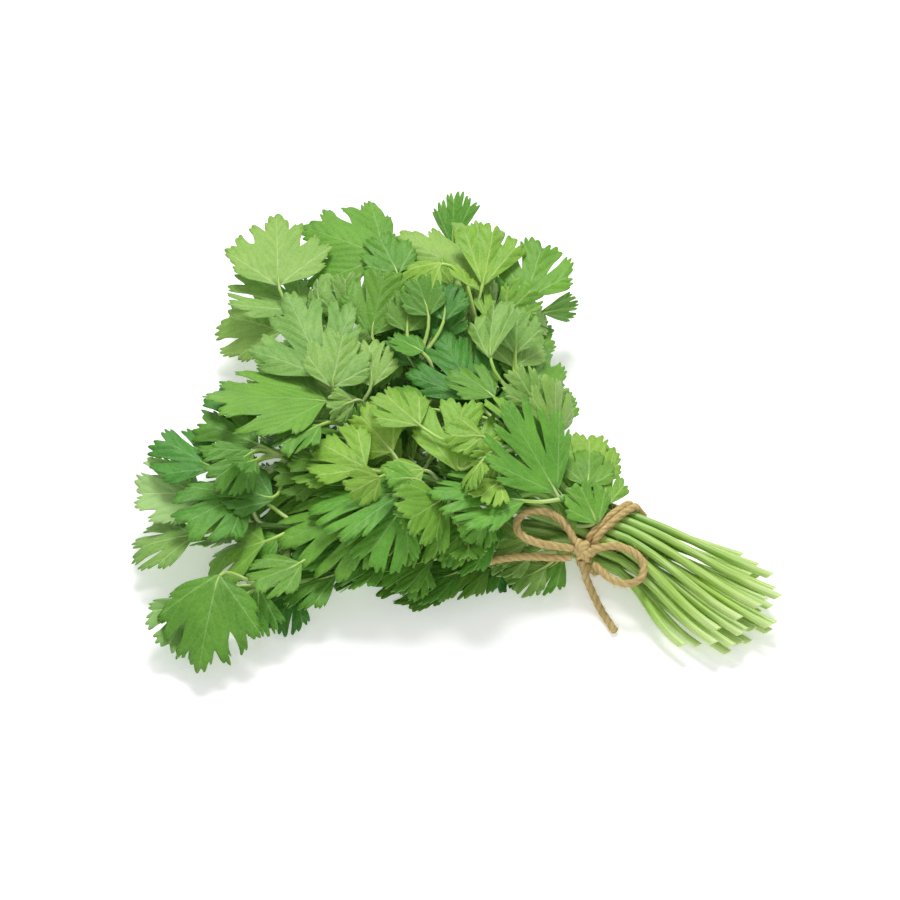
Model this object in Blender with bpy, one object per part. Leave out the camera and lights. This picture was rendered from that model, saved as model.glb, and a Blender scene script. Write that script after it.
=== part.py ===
"""A bunch of fresh coriander lying on a table, tied with jute twine in a bow.

The stems run along X: their cut ends point to +X and the leaves fan out towards -X. The tie is at x = 0,
and the flat underside of its twine rests on the table at z = 0. Lengths in the tables are millimetres.
A bearing is an angle round the tie, in degrees from -X towards +Y.
"""

import math
import random

import bmesh
import bpy
from mathutils import Matrix, Vector
from mathutils.bvhtree import BVHTree

MM = 0.001
SEED = 26

# Stems
STEM_RADIUS = 1.8
STEM_TIP_RADIUS = 1.15
STALK_RADIUS = 0.95
STALK_TIP_RADIUS = 0.75
STEM_SIDES = 5
STALK_SIDES = 4
STEM_RINGS_TO_LEAVES = 6
STEM_RINGS_TO_CUT = 3
STALK_RINGS = 3
STRAIGHT_HALF = 10.0
SHORT_REACH = 32.0
LONG_SPAN = 80.0
SLOT_PITCH = 4.1
ROW_SLOTS = (5, 6, 7, 6, 5)
TOP_DOME = 0.22
CUT_REACH = 71.5
CUT_SPREAD = 2.05
CUT_ASIDE = 5.0
CUT_ROUNDING = 0.035
CUT_JITTER = 0.2
CUT_SETTLE = 0.7
CUT_SLANT = 0.7

# Leaflets
BLADE_THICKNESS = 0.62
BLADE_GRIP = 4.0
HUB_SHARE = 0.3
HUB_ANGLE = 0.13
FLAT_ANGLE = math.radians(0.6)
GAP = 0.35
SMALL_LEAFLET = 28.5
LARGE_LEAFLET = 36.0
FLOOR = 0.31

# Twine
TWINE_RADIUS = 1.5
TWINE_SIDES = 6
WRAP_TURN_GAP = 2.85
WRAP_YAW = math.radians(16)
WRAP_STEP = math.radians(26)

# A leaflet's kind: half the angle it spans at its base, how far its slits and its base corners reach out as
# shares of its length, and the depth of the notches between its teeth.
KINDS = {
    "broad": {"span": 70, "slit": 0.60, "corner": 0.34, "notch": 0.86},
    "cut": {"span": 60, "slit": 0.42, "corner": 0.30, "notch": 0.80},
    "feather": {"span": 58, "slit": 0.34, "corner": 0.26, "notch": 0.72},
    "narrow": {"span": 38, "slit": 0.50, "corner": 0.32, "notch": 0.80},
}
ROUNDING = 0.75

# The sprigs that show on top and round the rim. Each is a colour and its leaflets, and a leaflet is
# (bearing, reach, height) of its base, heading, pitch and roll in degrees, length and kind.
SPRIGS = [
    ("light", [(12, 171, 37, 60, 6, 0, 38, "broad"), (12, 158, 31, 14, 0, 10, 36, "cut"),
               (8, 160, 29, 4, -10, -20, 34, "broad"), (14, 150, 24, 40, -6, 0, 27, "cut")]),
    ("light", [(0, 126, 40, 40, 8, -12, 43, "cut"), (-2, 121, 39, 74, 10, 10, 28, "broad"),
               (3, 136, 28, 5, 0, 0, 27, "cut")]),
    ("mid", [(27, 153, 37, 3, 0, -8, 42, "broad"), (17, 146, 28, 24, -8, 5, 28, "cut"),
             (27, 146, 31, 55, -4, 5, 27, "cut")]),
    ("dark", [(13, 124, 42, 75, 25, 0, 31, "cut"), (18, 116, 37, 70, 5, 15, 24, "broad"),
              (15, 112, 36, -58, -5, 10, 25, "broad")]),
    ("light", [(35, 119, 39, 14, -8, -10, 43, "broad"), (30, 132, 33, 50, 10, 5, 28, "cut")]),
    ("mid", [(36.5, 152, 28, 62, 28, -35, 25, "narrow"), (42, 140, 22, 20, -10, 0, 30, "cut"),
             (35, 142, 20, 5, -8, 0, 27, "cut")]),
    ("yellow", [(37, 116, 42, 72, 14, 15, 32, "narrow"), (29, 128, 31, -60, -20, 12, 24, "cut")]),
    ("mid", [(45, 108, 37, 76, 6, 5, 33, "cut"), (49, 114, 20, 140, -4, 85, 18, "narrow"),
             (41, 88, 24, 62, 5, 20, 27, "cut"), (43, 100, 22, 55, -5, 0, 27, "cut")]),
    ("light", [(32, 74, 40, 62, 8, 20, 31, "broad"), (25, 77, 41, 64, 10, -35, 30, "narrow"),
               (29, 66, 34, 92, -10, 20, 25, "cut")]),
    ("mid", [(34, 64, 31, 68, 0, 30, 32, "broad"), (40, 62, 18, 105, -15, 25, 18, "cut"),
             (34, 54, 20, 66, -8, 10, 20, "cut"), (26, 52, 32, 66, 0, 10, 25, "cut")]),
    ("dark", [(15, 70, 40, 37, 8, 0, 38, "cut"), (6, 82, 41, -13, 0, 0, 27, "cut"),
              (27, 64, 43, 12, 6, 10, 23, "cut"), (8, 64, 36, 70, 6, 0, 27, "cut")]),
    ("yellow", [(18, 16, 27, 62, 14, 10, 27, "broad"), (42, 25, 19, 66, 4, 20, 23, "cut")]),
    ("yellow", [(-20, 60, 43, 67, 18, 4, 35, "cut"), (-9, 78, 37, 21, 2, 8, 26, "cut"),
                (-12, 52, 38, 44, 9, 4, 27, "cut")]),
    ("yellow", [(-16, 86, 43, 24, 6, -30, 28, "cut"), (-22, 95, 41, 12, -4, 0, 29, "cut"),
                (-18, 104, 34, -16, 0, 0, 25, "cut")]),
    ("mid", [(-24, 80, 42, -30, -4, 10, 38, "feather"), (-26, 84, 39, -47, -6, 0, 48, "feather"),
             (-31, 80, 37, -84, -22, -10, 31, "feather")]),
    ("mid", [(-16, 21, 31, 22, 8, 10, 42, "feather"), (-24, 33, 31, -30, -2, 8, 37, "feather")]),
    ("mid", [(-30, 62, 35, -58, -25, 15, 30, "cut"), (-38, 44, 27, -45, -20, 0, 27, "cut"),
             (-33, 52, 24, -62, -20, 0, 24, "cut")]),
    ("dark", [(-37, 62, 18, -34, -10, -25, 36, "broad"), (-38, 60, 10, -46, -4, 10, 26, "cut"),
              (-37, 48, 12, -52, -8, 10, 23, "cut")]),
    ("light", [(-40, 32, 18, -22, -8, -10, 24, "cut"), (-47, 31, 12, -38, -4, 0, 20, "cut"),
               (-54, 27, 9, -56, -4, 0, 18, "cut")]),
    ("light", [(-22, 160, 19, -28, 0, 165, 31, "broad"), (-29, 161, 19, -30, -8, 10, 29, "cut")]),
    ("dark", [(-20, 156, 28, 6, 8, 0, 30, "cut"), (-16, 140, 33, 0, 0, -10, 30, "cut"),
              (-11, 146, 29, 16, 8, 0, 25, "cut")]),
    ("mid", [(-23, 142, 28, -64, -15, 0, 34, "cut"), (-33, 134, 24, -16, -12, 0, 31, "cut"),
             (-30, 128, 20, -48, -12, 0, 27, "cut")]),
    ("mid", [(-4, 121, 37, -27, -4, 5, 48, "broad"), (-6, 138, 27, 30, -6, 0, 30, "cut")]),
    ("mid", [(-16, 122, 33, -86, -15, 0, 40, "cut"), (-35, 124, 18, -64, -28, 0, 27, "broad"),
             (-22, 114, 30, -40, -10, 0, 27, "cut")]),
    ("mid", [(-39, 154, 26, -106, -14, 0, 37, "broad"), (-38.5, 164, 10, -92, -6, 150, 29, "cut"),
             (-40, 139, 19, -118, -22, 30, 22, "narrow")]),
    ("dark", [(-27, 104, 14, -30, -14, 0, 27, "cut"), (-30, 92, 12, -42, -8, 20, 26, "cut"),
              (-30, 84, 18, -46, -14, 0, 25, "cut")]),
]

# The sprigs underneath: bearing, reach of the fork and its height.
LOW_SPRIGS = [(-15, 116, 7), (4, 104, 9), (30, 92, 8)]
LOW_TURNS = (-70, 0, 70)
LOW_LENGTH = 33

# Small leaflets on the way up a stem: how far along they grow, how far aside and up, and their length.
SIDE_SHARES = (0.62, 0.82)
SIDE_OUT = 13
SIDE_UP = 5
SIDE_LENGTH = 24
SIDE_MIN_REACH = 118
SIDE_WITHIN = 35
SIDE_TRIES = 200

# The bow's free stretches, as the points that the twine passes through.
TWINE_ROUTES = {
    "twine_loop_left": [(-8.0, -15.2, 24), (-13, -12.8, 27.2), (-19.7, -12.4, 29.5), (-26, -15.5, 30.5),
                        (-29, -21, 30), (-26.5, -25.8, 28.5), (-20, -26, 26.8), (-13.5, -22.8, 24.5),
                        (-8.4, -19.0, 22)],
    "twine_loop_right": [(2.2, -14.8, 23.2), (7.5, -11.8, 24.4), (14.5, -10.4, 24.2), (20.8, -12.2, 22.2),
                         (22.5, -17, 19), (18, -20.7, 17), (11, -21, 16.6), (4.8, -19.2, 17.6)],
    "twine_tail_left": [(-8, -21.2, 18.4), (-14, -25.3, 19.6), (-21.5, -29.4, 20.2), (-28.5, -33.4, 19.4),
                        (-34, -37, 18)],
    "twine_tail_front": [(-1.5, -19.5, 15.6), (1.5, -21.5, 10.5), (6, -24, 5.6), (10.8, -26.8, 2.3),
                         (15.2, -29.6, 1.65), (19.4, -32.6, 1.65)],
}
KNOT_AT = (-3.2, -16.6, 20.6)

COLOURS = {
    "mid": (0.13, 0.38, 0.055),
    "light": (0.33, 0.58, 0.13),
    "dark": (0.035, 0.16, 0.035),
    "yellow": (0.36, 0.60, 0.06),
    "twine": (0.55, 0.38, 0.16),
}


# ---- Points and directions ----

def place(bearing, reach, height):
    """The point at a bearing, reach and height."""
    turn = math.radians(bearing)
    return Vector((-reach * math.cos(turn), reach * math.sin(turn), height))


def along(heading, pitch=0.0):
    """The unit direction with a heading in plan and a pitch above it."""
    turn, rise = math.radians(heading), math.radians(pitch)
    return Vector((-math.cos(turn) * math.cos(rise), math.sin(turn) * math.cos(rise), math.sin(rise)))


def bezier(points, count):
    """Evenly timed points along the cubic curve with four control points."""
    a, b, c, d = points
    times = [i / (count - 1) for i in range(count)]
    return [a * (1 - t) ** 3 + b * (3 * t * (1 - t) ** 2) + c * (3 * t * t * (1 - t)) + d * t ** 3 for t in times]


def smooth_route(points, step):
    """Points a step apart along a Catmull-Rom curve through the route's points."""
    ends = [points[0] * 2 - points[1], *points, points[-1] * 2 - points[-2]]
    fine = []
    for p, q, r, s in zip(ends, ends[1:], ends[2:], ends[3:]):
        for i in range(12):
            t = i / 12
            fine.append((q * 2 + (r - p) * t + (p * 2 - q * 5 + r * 4 - s) * t * t
                         + (q * 3 - p - r * 3 + s) * t ** 3) / 2)
    fine.append(points[-1])
    lengths = [0.0]
    for a, b in zip(fine, fine[1:]):
        lengths.append(lengths[-1] + (b - a).length)
    count = max(2, round(lengths[-1] / step) + 1)
    route, i = [], 0
    for k in range(count):
        goal = lengths[-1] * k / (count - 1)
        while i < len(fine) - 2 and lengths[i + 1] < goal:
            i += 1
        share = (goal - lengths[i]) / max(lengths[i + 1] - lengths[i], 1e-9)
        route.append(fine[i].lerp(fine[i + 1], share))
    return route


# ---- Closed meshes, as points and faces ----

def tube(path, radii, sides, slant=0.0):
    """A closed tube along a path. The slant shears its first end, as a diagonal cut."""
    points, faces = [], []
    tangents = [(path[min(i + 1, len(path) - 1)] - path[max(i - 1, 0)]).normalized() for i in range(len(path))]
    across = tangents[0].orthogonal().normalized()
    for i, (centre, ahead) in enumerate(zip(path, tangents)):
        across = (across - ahead * across.dot(ahead)).normalized()
        upright = ahead.cross(across)
        for k in range(sides):
            turn = 2 * math.pi * k / sides
            shift = slant * radii[0] * math.cos(turn) if i == 0 else 0.0
            points.append(centre + (across * math.cos(turn) + upright * math.sin(turn)) * radii[i] + ahead * shift)
    for i in range(len(path) - 1):
        for k in range(sides):
            a, b = i * sides + k, i * sides + (k + 1) % sides
            faces.append((a, b, b + sides, a + sides))
    faces.append(tuple(reversed(range(sides))))
    faces.append(tuple(range(len(points) - sides, len(points))))
    return points, faces


def outline(leaf):
    """A leaflet's edge as (angle in radians, radius): its base corners, and three toothed lobes parted by slits."""
    kind = KINDS[leaf["kind"]]
    draw = random.Random(leaf["seed"])
    span = math.radians(kind["span"])
    corners = 5 if leaf["length"] >= LARGE_LEAFLET else 3
    edge = [(-span, kind["corner"])]
    for lobe in (-1, 0, 1):
        for k in range(corners):
            side = 2 * k / (corners - 1) - 1
            angle = span * (2 * lobe + side * 0.84) / 3
            radius = math.cos(angle) ** ROUNDING * draw.uniform(0.94, 1.03) * (1.0 - 0.07 * abs(side))
            if k % 2:
                radius *= kind["notch"]
            edge.append((angle + draw.uniform(-0.02, 0.02), radius))
        if lobe < 1:
            edge.append((span * (2 * lobe + 1) / 3, kind["slit"] * draw.uniform(0.9, 1.1)))
    edge.append((span, kind["corner"]))
    return [(angle, radius * leaf["length"]) for angle, radius in edge]


def blade_point(leaf, angle, radius):
    """The middle of the blade at an angle and radius from its base, in the bunch's frame."""
    length = leaf["length"]
    x, y, t = radius * math.cos(angle), radius * math.sin(angle), radius / length
    span = math.radians(KINDS[leaf["kind"]]["span"])
    pleat = math.cos(math.pi * 3 * angle / span) * leaf["pleat"]
    z = length * (leaf["cup"] * (y / length) ** 2 - leaf["droop"] * t * t + pleat * t * t)
    point = leaf["base"] + leaf["turn"] @ Vector((x, y, z))
    point.z = max(point.z, FLOOR)
    return point


def blade_normal(leaf, angle, radius):
    """The blade's upper side at a point, from points close by."""
    radius = max(radius, 0.05 * leaf["length"])
    out = blade_point(leaf, angle, radius * 1.02) - blade_point(leaf, angle, radius * 0.98)
    round_it = blade_point(leaf, angle + 0.02, radius) - blade_point(leaf, angle - 0.02, radius)
    return out.cross(round_it).normalized()


def blade(leaf, thickness=BLADE_THICKNESS, extra=0.0):
    """A toothed blade of even thickness, with both faces split into triangles alike round a hub."""
    edge = outline(leaf)
    inner = []
    for k in range(0, len(edge), 2) if leaf["length"] >= SMALL_LEAFLET else ():
        near = [edge[j][1] for j in (k - 1, k, k + 1) if 0 <= j < len(edge)]
        inner.append((edge[k][0], 0.62 * min(near)))
    hub = (HUB_ANGLE, HUB_SHARE * leaf["length"])
    spots = [(0.0, 0.0), hub] + inner + [(angle, radius + extra) for angle, radius in edge]
    points = []
    for side in (1, -1):
        for angle, radius in spots:
            normal = blade_normal(leaf, angle, radius)
            points.append(blade_point(leaf, angle, radius) + normal * (side * thickness / 2))
    first, top = 2 + len(inner), []
    rim = list(range(first, first + len(edge)))
    ring = list(range(2, 2 + len(inner))) or rim
    for a, b in zip([0] + ring, ring + [0]):
        top.append((1, a, b))
    for k in range(len(inner) - 1):
        a, b, out = 2 + k, 3 + k, first + 2 * k
        top += [(a, out, out + 1), (a, out + 1, b), (b, out + 1, out + 2)]
    below = len(spots)
    faces = top + [(c + below, b + below, a + below) for a, b, c in top]
    border = [0] + rim
    if inner:
        border = [0, ring[0]] + rim + [ring[-1]]
    for a, b in zip(border, border[1:] + border[:1]):
        faces += [(b, a, a + below), (b, a + below, b + below)]
    return points, faces


def tree(shape):
    return BVHTree.FromPolygons(*shape)


# ---- Laying out the sprigs ----

def leaf_turn(heading, pitch, roll):
    """A matrix whose columns are the blade's forward, left and up directions."""
    ahead = along(heading, pitch)
    left = Vector((0, 0, 1)).cross(ahead).normalized()
    turn = Matrix((ahead, left, ahead.cross(left))).transposed()
    return turn @ Matrix.Rotation(math.radians(roll), 3, "X")


def make_leaf(row, number, share=1.0):
    """A leaflet from its row, which grows from its stem at a share of the way to the fork."""
    bearing, reach, height, heading, pitch, roll, length, kind = row
    draw = random.Random(SEED * 1000 + number)
    return {
        "at": (bearing, reach, height), "aim": (heading, pitch, roll), "length": length, "kind": kind,
        "share": share, "seed": SEED * 5000 + number, "cup": draw.uniform(-0.30, 0.10),
        "droop": draw.uniform(0.02, 0.22), "pleat": draw.uniform(0.02, 0.05),
    }


def aim_leaf(leaf, lift=0.0, swing=0.0, pitch=0.0, roll=0.0):
    """Puts the leaflet at its place, lifted and swung in millimetres, and turned by two angles."""
    bearing, reach, height = leaf["at"]
    leaf["base"] = place(bearing + math.degrees(swing / reach), reach, max(height + lift, 3.0))
    leaf["turn"] = leaf_turn(leaf["aim"][0], leaf["aim"][1] + pitch, leaf["aim"][2] + roll)


def tie_slots():
    """The stems' places in the tie as (y, z), in hexagonal rows that are domed on top."""
    slots = []
    rise = SLOT_PITCH * math.sqrt(3) / 2
    base = TWINE_RADIUS * 0.866 * 2 + GAP + STEM_RADIUS
    half = SLOT_PITCH * (max(ROW_SLOTS) - 1) / 2
    for row, count in enumerate(ROW_SLOTS):
        for k in range(count):
            y = SLOT_PITCH * (k - (count - 1) / 2)
            slots.append((y, base + row * rise * (1 + TOP_DOME * (1 - (y / half) ** 2))))
    return slots


def make_sprigs():
    """All sprigs, each with its leaflets, its fork and its place in the tie."""
    sprigs, number = [], 0
    rows = [(colour, leaves) for colour, leaves in SPRIGS]
    draw = random.Random(SEED)
    for bearing, reach, height in LOW_SPRIGS:
        leaves = []
        for k, turn in enumerate(LOW_TURNS):
            out = reach + (14 if turn == 0 else 4)
            leaves.append((bearing + turn * 0.06, out, height, bearing + turn + draw.uniform(-15, 15),
                           draw.uniform(-8, 8), draw.uniform(-8, 8), LOW_LENGTH, "cut"))
        rows.append(("dark", leaves))
    for colour, leaves in rows:
        made = []
        for row in leaves:
            number += 1
            made.append(make_leaf(row, number))
        bases = [place(*leaf["at"]) for leaf in made]
        middle = sum(bases, Vector()) / len(bases)
        reach = max(math.hypot(middle.x, middle.y), 1.0)
        back = min(14.0, reach * 0.25)
        fork = middle - Vector((middle.x, middle.y, 0)) / reach * back
        fork.z = max(middle.z - 3.0, 4.0)
        sprigs.append({"leaves": made, "fork": fork, "colour": colour,
                       "bearing": math.degrees(math.atan2(fork.y, -fork.x)), "reach": reach - back})
    return sprigs


def share_slots(sprigs):
    """Gives each sprig a slot in the tie.

    A short one takes the free slot nearest to its fork. The others follow sideways in the order of their
    bearings, the higher ones above.
    """
    slots = tie_slots()
    waiting = []
    for sprig in sorted(sprigs, key=lambda s: s["reach"]):
        if sprig["reach"] < SHORT_REACH:
            fork = sprig["fork"]
            sprig["slot"] = min(slots, key=lambda s: math.hypot(s[0] - fork.y, s[1] - fork.z))
            slots.remove(sprig["slot"])
        else:
            waiting.append(sprig)
    waiting.sort(key=lambda s: s["bearing"])
    columns = {}
    for y, z in slots:
        columns.setdefault(round(y, 3), []).append((y, z))
    for y in sorted(columns):
        group = [waiting.pop(0) for _ in columns[y]]
        group.sort(key=lambda s: s["fork"].z - 0.12 * s["reach"])
        for sprig, slot in zip(group, sorted(columns[y], key=lambda s: s[1])):
            sprig["slot"] = slot


def stem_path(sprig, lift=0.0, swing=0.0, bow=(0.0, 0.0)):
    """The stem's middle line, from its cut end through the tie to its fork, bowed sideways and up."""
    y, z = sprig["slot"]
    fork = sprig["fork"] + Vector((0, 0, lift))
    fork = Matrix.Rotation(math.radians(-swing), 3, "Z") @ fork
    fork.z = max(fork.z, 2.2)
    draw = sprig["draw"]
    lowest = tie_slots()[0][1]
    cut = Vector((CUT_REACH + draw[0] - CUT_ROUNDING * (y * CUT_SPREAD) ** 2, y * CUT_SPREAD - CUT_ASIDE + draw[1],
                  STEM_RADIUS + 0.25 + (z - lowest) * CUT_SETTLE))
    near, far = Vector((STRAIGHT_HALF, y, z)), Vector((-STRAIGHT_HALF, y, z))
    pull = (cut - near).length * 0.4
    splay = Vector((0, (cut.y - y) * 0.3, 0))
    first = bezier([cut, cut - Vector((1, (cut.y - y) / 70, 0)) * pull, near + Vector((pull, 0, 0)) + splay, near],
                   STEM_RINGS_TO_CUT)
    span = (fork - far).length
    arrive = Vector((fork.x, fork.y, 0)).normalized() + Vector((0, 0, 0.12))
    bent = Vector((0, *bow))
    leave = Vector((-min(span, LONG_SPAN) * 0.34, 0, 0))
    second = bezier([far, far + leave + bent * 0.4, fork - arrive * span * 0.34 + bent, fork],
                    STEM_RINGS_TO_LEAVES)
    return first + second


def stem_shape(path, margin=0.0):
    radii = []
    for i, point in enumerate(path):
        out = max(0.0, (-point.x - STRAIGHT_HALF) / 120)
        radii.append(STEM_RADIUS + (STEM_TIP_RADIUS - STEM_RADIUS) * min(out, 1.0) + margin)
    return tube(path, radii, STEM_SIDES, CUT_SLANT)


def stalk_shape(sprig, leaf, k, further=0.0, margin=0.0):
    """The stalk from the fork into the leaflet's base, or a little further."""
    path = sprig["path"]
    if leaf["share"] < 1:
        spot = leaf["share"] * (STEM_RINGS_TO_LEAVES - 1)
        step = int(spot)
        a, b = path[step - STEM_RINGS_TO_LEAVES], path[step + 1 - STEM_RINGS_TO_LEAVES]
        ahead = (b - a).normalized()
        start = a.lerp(b, spot - step)
    else:
        ahead = (path[-1] - path[-2]).normalized()
        start = path[-1] - ahead * (3.0 + 1.6 * k)
    forward = leaf["turn"] @ Vector((1, 0, 0))
    end = leaf["base"] + forward * (BLADE_GRIP + further)
    pull = (end - start).length * 0.35
    line = bezier([start, start + ahead * pull, leaf["base"] - forward * pull, end], STALK_RINGS)
    for point in line:
        point.z = max(point.z, STALK_RADIUS + 0.2)
    radii = [STALK_RADIUS + (STALK_TIP_RADIUS - STALK_RADIUS) * i / (len(line) - 1) + margin
             for i in range(len(line))]
    return tube(line, radii, STALK_SIDES)


def box_of(points):
    return [[pick(point[i] for point in points) for i in range(3)] for pick in (min, max)]


def obstacle(shape, owner):
    """A shape that others keep clear of: its box, its tree and the name of what it belongs to."""
    return (*box_of(shape[0]), tree(shape), owner)


def is_clear(shape, obstacles, own=None):
    """Whether a shape touches none of the obstacles, apart from its own."""
    low, high = box_of(shape[0])
    mine = None
    for other_low, other_high, other, owner in obstacles:
        if owner != own and all(low[i] <= other_high[i] and other_low[i] <= high[i] for i in range(3)):
            mine = mine or tree(shape)
            if mine.overlap(other):
                return False
    return True


def moves():
    """Small moves of a leaflet as (lift, swing, pitch, roll), the least first."""
    found = []
    for lift in (0, 1.5, -1.5, 3, -3, 5, -5, 7, -7, 10, -10, 13, -13, 16, 20):
        for swing in (0, 5, -5, 10, -10):
            for pitch in (0, 10, -10, 20, -20, 32, -32):
                for roll in (0, 12, -12, 25, -25):
                    cost = abs(lift) / 3 + abs(swing) / 4 + abs(pitch) / 12 + abs(roll) / 12
                    found.append((cost, lift, swing, pitch, roll))
    return [move[1:] for move in sorted(found)]


def side_leaves(sprig, draw):
    """Small leaflets that grow from a long stem before its fork, on alternate sides."""
    if sprig["reach"] < SIDE_MIN_REACH or abs(sprig["bearing"]) > SIDE_WITHIN:
        return []
    leaves, side = [], 1 if sprig["bearing"] < 0 else -1
    for share in SIDE_SHARES:
        spot = sprig["path"][round(share * (STEM_RINGS_TO_LEAVES - 1)) - STEM_RINGS_TO_LEAVES]
        reach = math.hypot(spot.x, spot.y)
        bearing = math.degrees(math.atan2(spot.y, -spot.x))
        aside = math.degrees(side * SIDE_OUT * 0.6 / reach)
        row = (bearing + aside, reach + SIDE_OUT * 0.5, spot.z + SIDE_UP * draw.uniform(-1, 1.4),
               bearing + side * draw.uniform(15, 50), draw.uniform(-12, 12), draw.uniform(-12, 12),
               SIDE_LENGTH * draw.uniform(0.9, 1.1), "cut")
        leaves.append(make_leaf(row, draw.randrange(1000, 9999), share))
        side = -side
    return leaves


def stem_bends():
    """Small changes of a stem as (lift, swing, bow sideways, bow up), the least first."""
    found = []
    for lift in (0, 2, -2, 5, -5, 9):
        for swing in (0, 1.5, -1.5, 3, -3, 5, -5):
            for side in (0, 4, -4, 8, -8):
                for up in (0, 4, -4, 8, -8):
                    cost = abs(lift) / 2 + abs(swing) + abs(side) / 3 + abs(up) / 3
                    found.append((cost, lift, swing, side, up))
    return [bend[1:] for bend in sorted(found)]


def lay_out(twine_shapes):
    """Lays the stems and then the leaflets, each moved a little until it is clear of the others."""
    sprigs = make_sprigs()
    share_slots(sprigs)
    draw = random.Random(SEED + 1)
    taken = [obstacle(shape, "twine") for shape in twine_shapes]
    bends = stem_bends()
    steps = moves()
    for number, sprig in enumerate(sprigs):
        sprig["owner"] = f"stem {number}"
        sprig["draw"] = (draw.uniform(-7, 3), draw.uniform(-CUT_JITTER, CUT_JITTER))
    for sprig in sorted(sprigs, key=lambda s: s["slot"][1]):
        for lift, swing, side, up in bends:
            sprig["path"] = stem_path(sprig, lift, swing, (side, up))
            if is_clear(stem_shape(sprig["path"], GAP * 0.8), taken):
                break
        taken.append(obstacle(stem_shape(sprig["path"]), sprig["owner"]))
    for sprig in sprigs:
        sprig["leaves"] += side_leaves(sprig, draw)
    for sprig in sprigs:
        kept = []
        for k, leaf in enumerate(sprig["leaves"]):
            for step in steps[:SIDE_TRIES] if leaf["share"] < 1 else steps:
                aim_leaf(leaf, *step)
                if (is_clear(blade(leaf, BLADE_THICKNESS + 2 * GAP, GAP), taken, sprig["owner"])
                        and is_clear(stalk_shape(sprig, leaf, k, 0, GAP), taken, sprig["owner"])):
                    taken.append(obstacle(blade(leaf), "blade"))
                    taken.append(obstacle(stalk_shape(sprig, leaf, k), sprig["owner"]))
                    kept.append((k, leaf))
                    break
        sprig["leaves"] = kept
    return [sprig for sprig in sprigs if sprig["leaves"]]


# ---- Twine ----

def wrap_stations():
    """The tight band's path round the stems, as (centre, outward direction), both in the YZ plane."""
    slots = tie_slots()
    middle = sum(z for _, z in slots) / len(slots)
    hull = []
    for y, z in sorted(slots, key=lambda s: math.atan2(s[1] - middle, s[0])):
        hull.append(Vector((y, z)))
    changed = True
    while changed:
        changed = False
        for i in range(len(hull)):
            a, b, c = hull[i - 1], hull[i], hull[(i + 1) % len(hull)]
            if (b - a).x * (c - b).y - (b - a).y * (c - b).x <= 1e-6:
                hull.pop(i)
                changed = True
                break
    offset = STEM_RADIUS + GAP + TWINE_RADIUS * 0.866
    stations = []
    for i in range(len(hull)):
        a, b, c = hull[i - 1], hull[i], hull[(i + 1) % len(hull)]
        start = math.atan2(-(b - a).x, (b - a).y)
        end = math.atan2(-(c - b).x, (c - b).y)
        while end < start:
            end += 2 * math.pi
        count = max(1, math.ceil((end - start) / WRAP_STEP))
        for k in range(count + 1):
            turn = start + (end - start) * k / count
            out = Vector((math.cos(turn), math.sin(turn)))
            stations.append((b + out * offset, out))
    return stations


def wrap_turn(x):
    """One turn of the band as a closed ring with a flat outer side."""
    points, faces = [], []
    stations = wrap_stations()
    for centre, out in stations:
        for k in range(TWINE_SIDES):
            turn = math.pi * (2 * k + 1) / TWINE_SIDES
            away = math.cos(turn) * TWINE_RADIUS
            points.append(Vector((x + centre.x * math.tan(WRAP_YAW) + math.sin(turn) * TWINE_RADIUS,
                                  centre.x + out.x * away, centre.y + out.y * away)))
    count = len(stations)
    for i in range(count):
        for k in range(TWINE_SIDES):
            a, b = i * TWINE_SIDES + k, i * TWINE_SIDES + (k + 1) % TWINE_SIDES
            c, d = (i + 1) % count * TWINE_SIDES + (k + 1) % TWINE_SIDES, (i + 1) % count * TWINE_SIDES + k
            faces.append((a, d, c, b))
    return points, faces


def knot_shapes():
    """The bow's knot: three short fat bights that cross one another."""
    centre = Vector(KNOT_AT)
    shapes = []
    for lean, tall in ((0.2, 4.4), (1.3, 3.6), (2.3, 3.8)):
        side = Vector((math.cos(lean), 0.35 * math.sin(lean), 0.9 * math.sin(lean)))
        out = Vector((0.0, -0.8, 0.6))
        line = bezier([centre - side * tall - out * 1.0, centre - side * tall * 0.5 + out * 1.8,
                       centre + side * tall * 0.5 + out * 1.8, centre + side * tall - out * 1.0], 6)
        shapes.append(tube(line, [1.7, 2.1, 2.3, 2.3, 2.1, 1.7], 7))
    return shapes


# ---- Blender objects ----

def material(name):
    made = bpy.data.materials.new(name)
    made.use_nodes = True
    shader = made.node_tree.nodes["Principled BSDF"]
    shader.inputs["Base Color"].default_value = (*COLOURS[name], 1)
    shader.inputs["Roughness"].default_value = 0.85 if name == "twine" else 0.5
    shader.inputs["Metallic"].default_value = 0.0
    made.diffuse_color = (*COLOURS[name], 1)
    return made


def make_object(name, shape, collection):
    """An object in metres from a shape in millimetres."""
    mesh = bpy.data.meshes.new(name)
    mesh.from_pydata([point * MM for point in shape[0]], [], shape[1])
    tidy = bmesh.new()
    tidy.from_mesh(mesh)
    bmesh.ops.recalc_face_normals(tidy, faces=tidy.faces)
    tidy.to_mesh(mesh)
    tidy.free()
    made = bpy.data.objects.new(name, mesh)
    collection.objects.link(made)
    return made


def is_whole(mesh):
    """Whether a mesh is one closed body."""
    check = bmesh.new()
    check.from_mesh(mesh)
    check.verts.ensure_lookup_table()
    closed = all(len(edge.link_faces) == 2 for edge in check.edges)
    reached, waiting = set(), [check.verts[0]] if check.verts else []
    while waiting:
        vertex = waiting.pop()
        if vertex.index not in reached:
            reached.add(vertex.index)
            waiting += [edge.other_vert(vertex) for edge in vertex.link_edges]
    whole = closed and len(reached) == len(check.verts) > 0
    check.free()
    return whole


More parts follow.
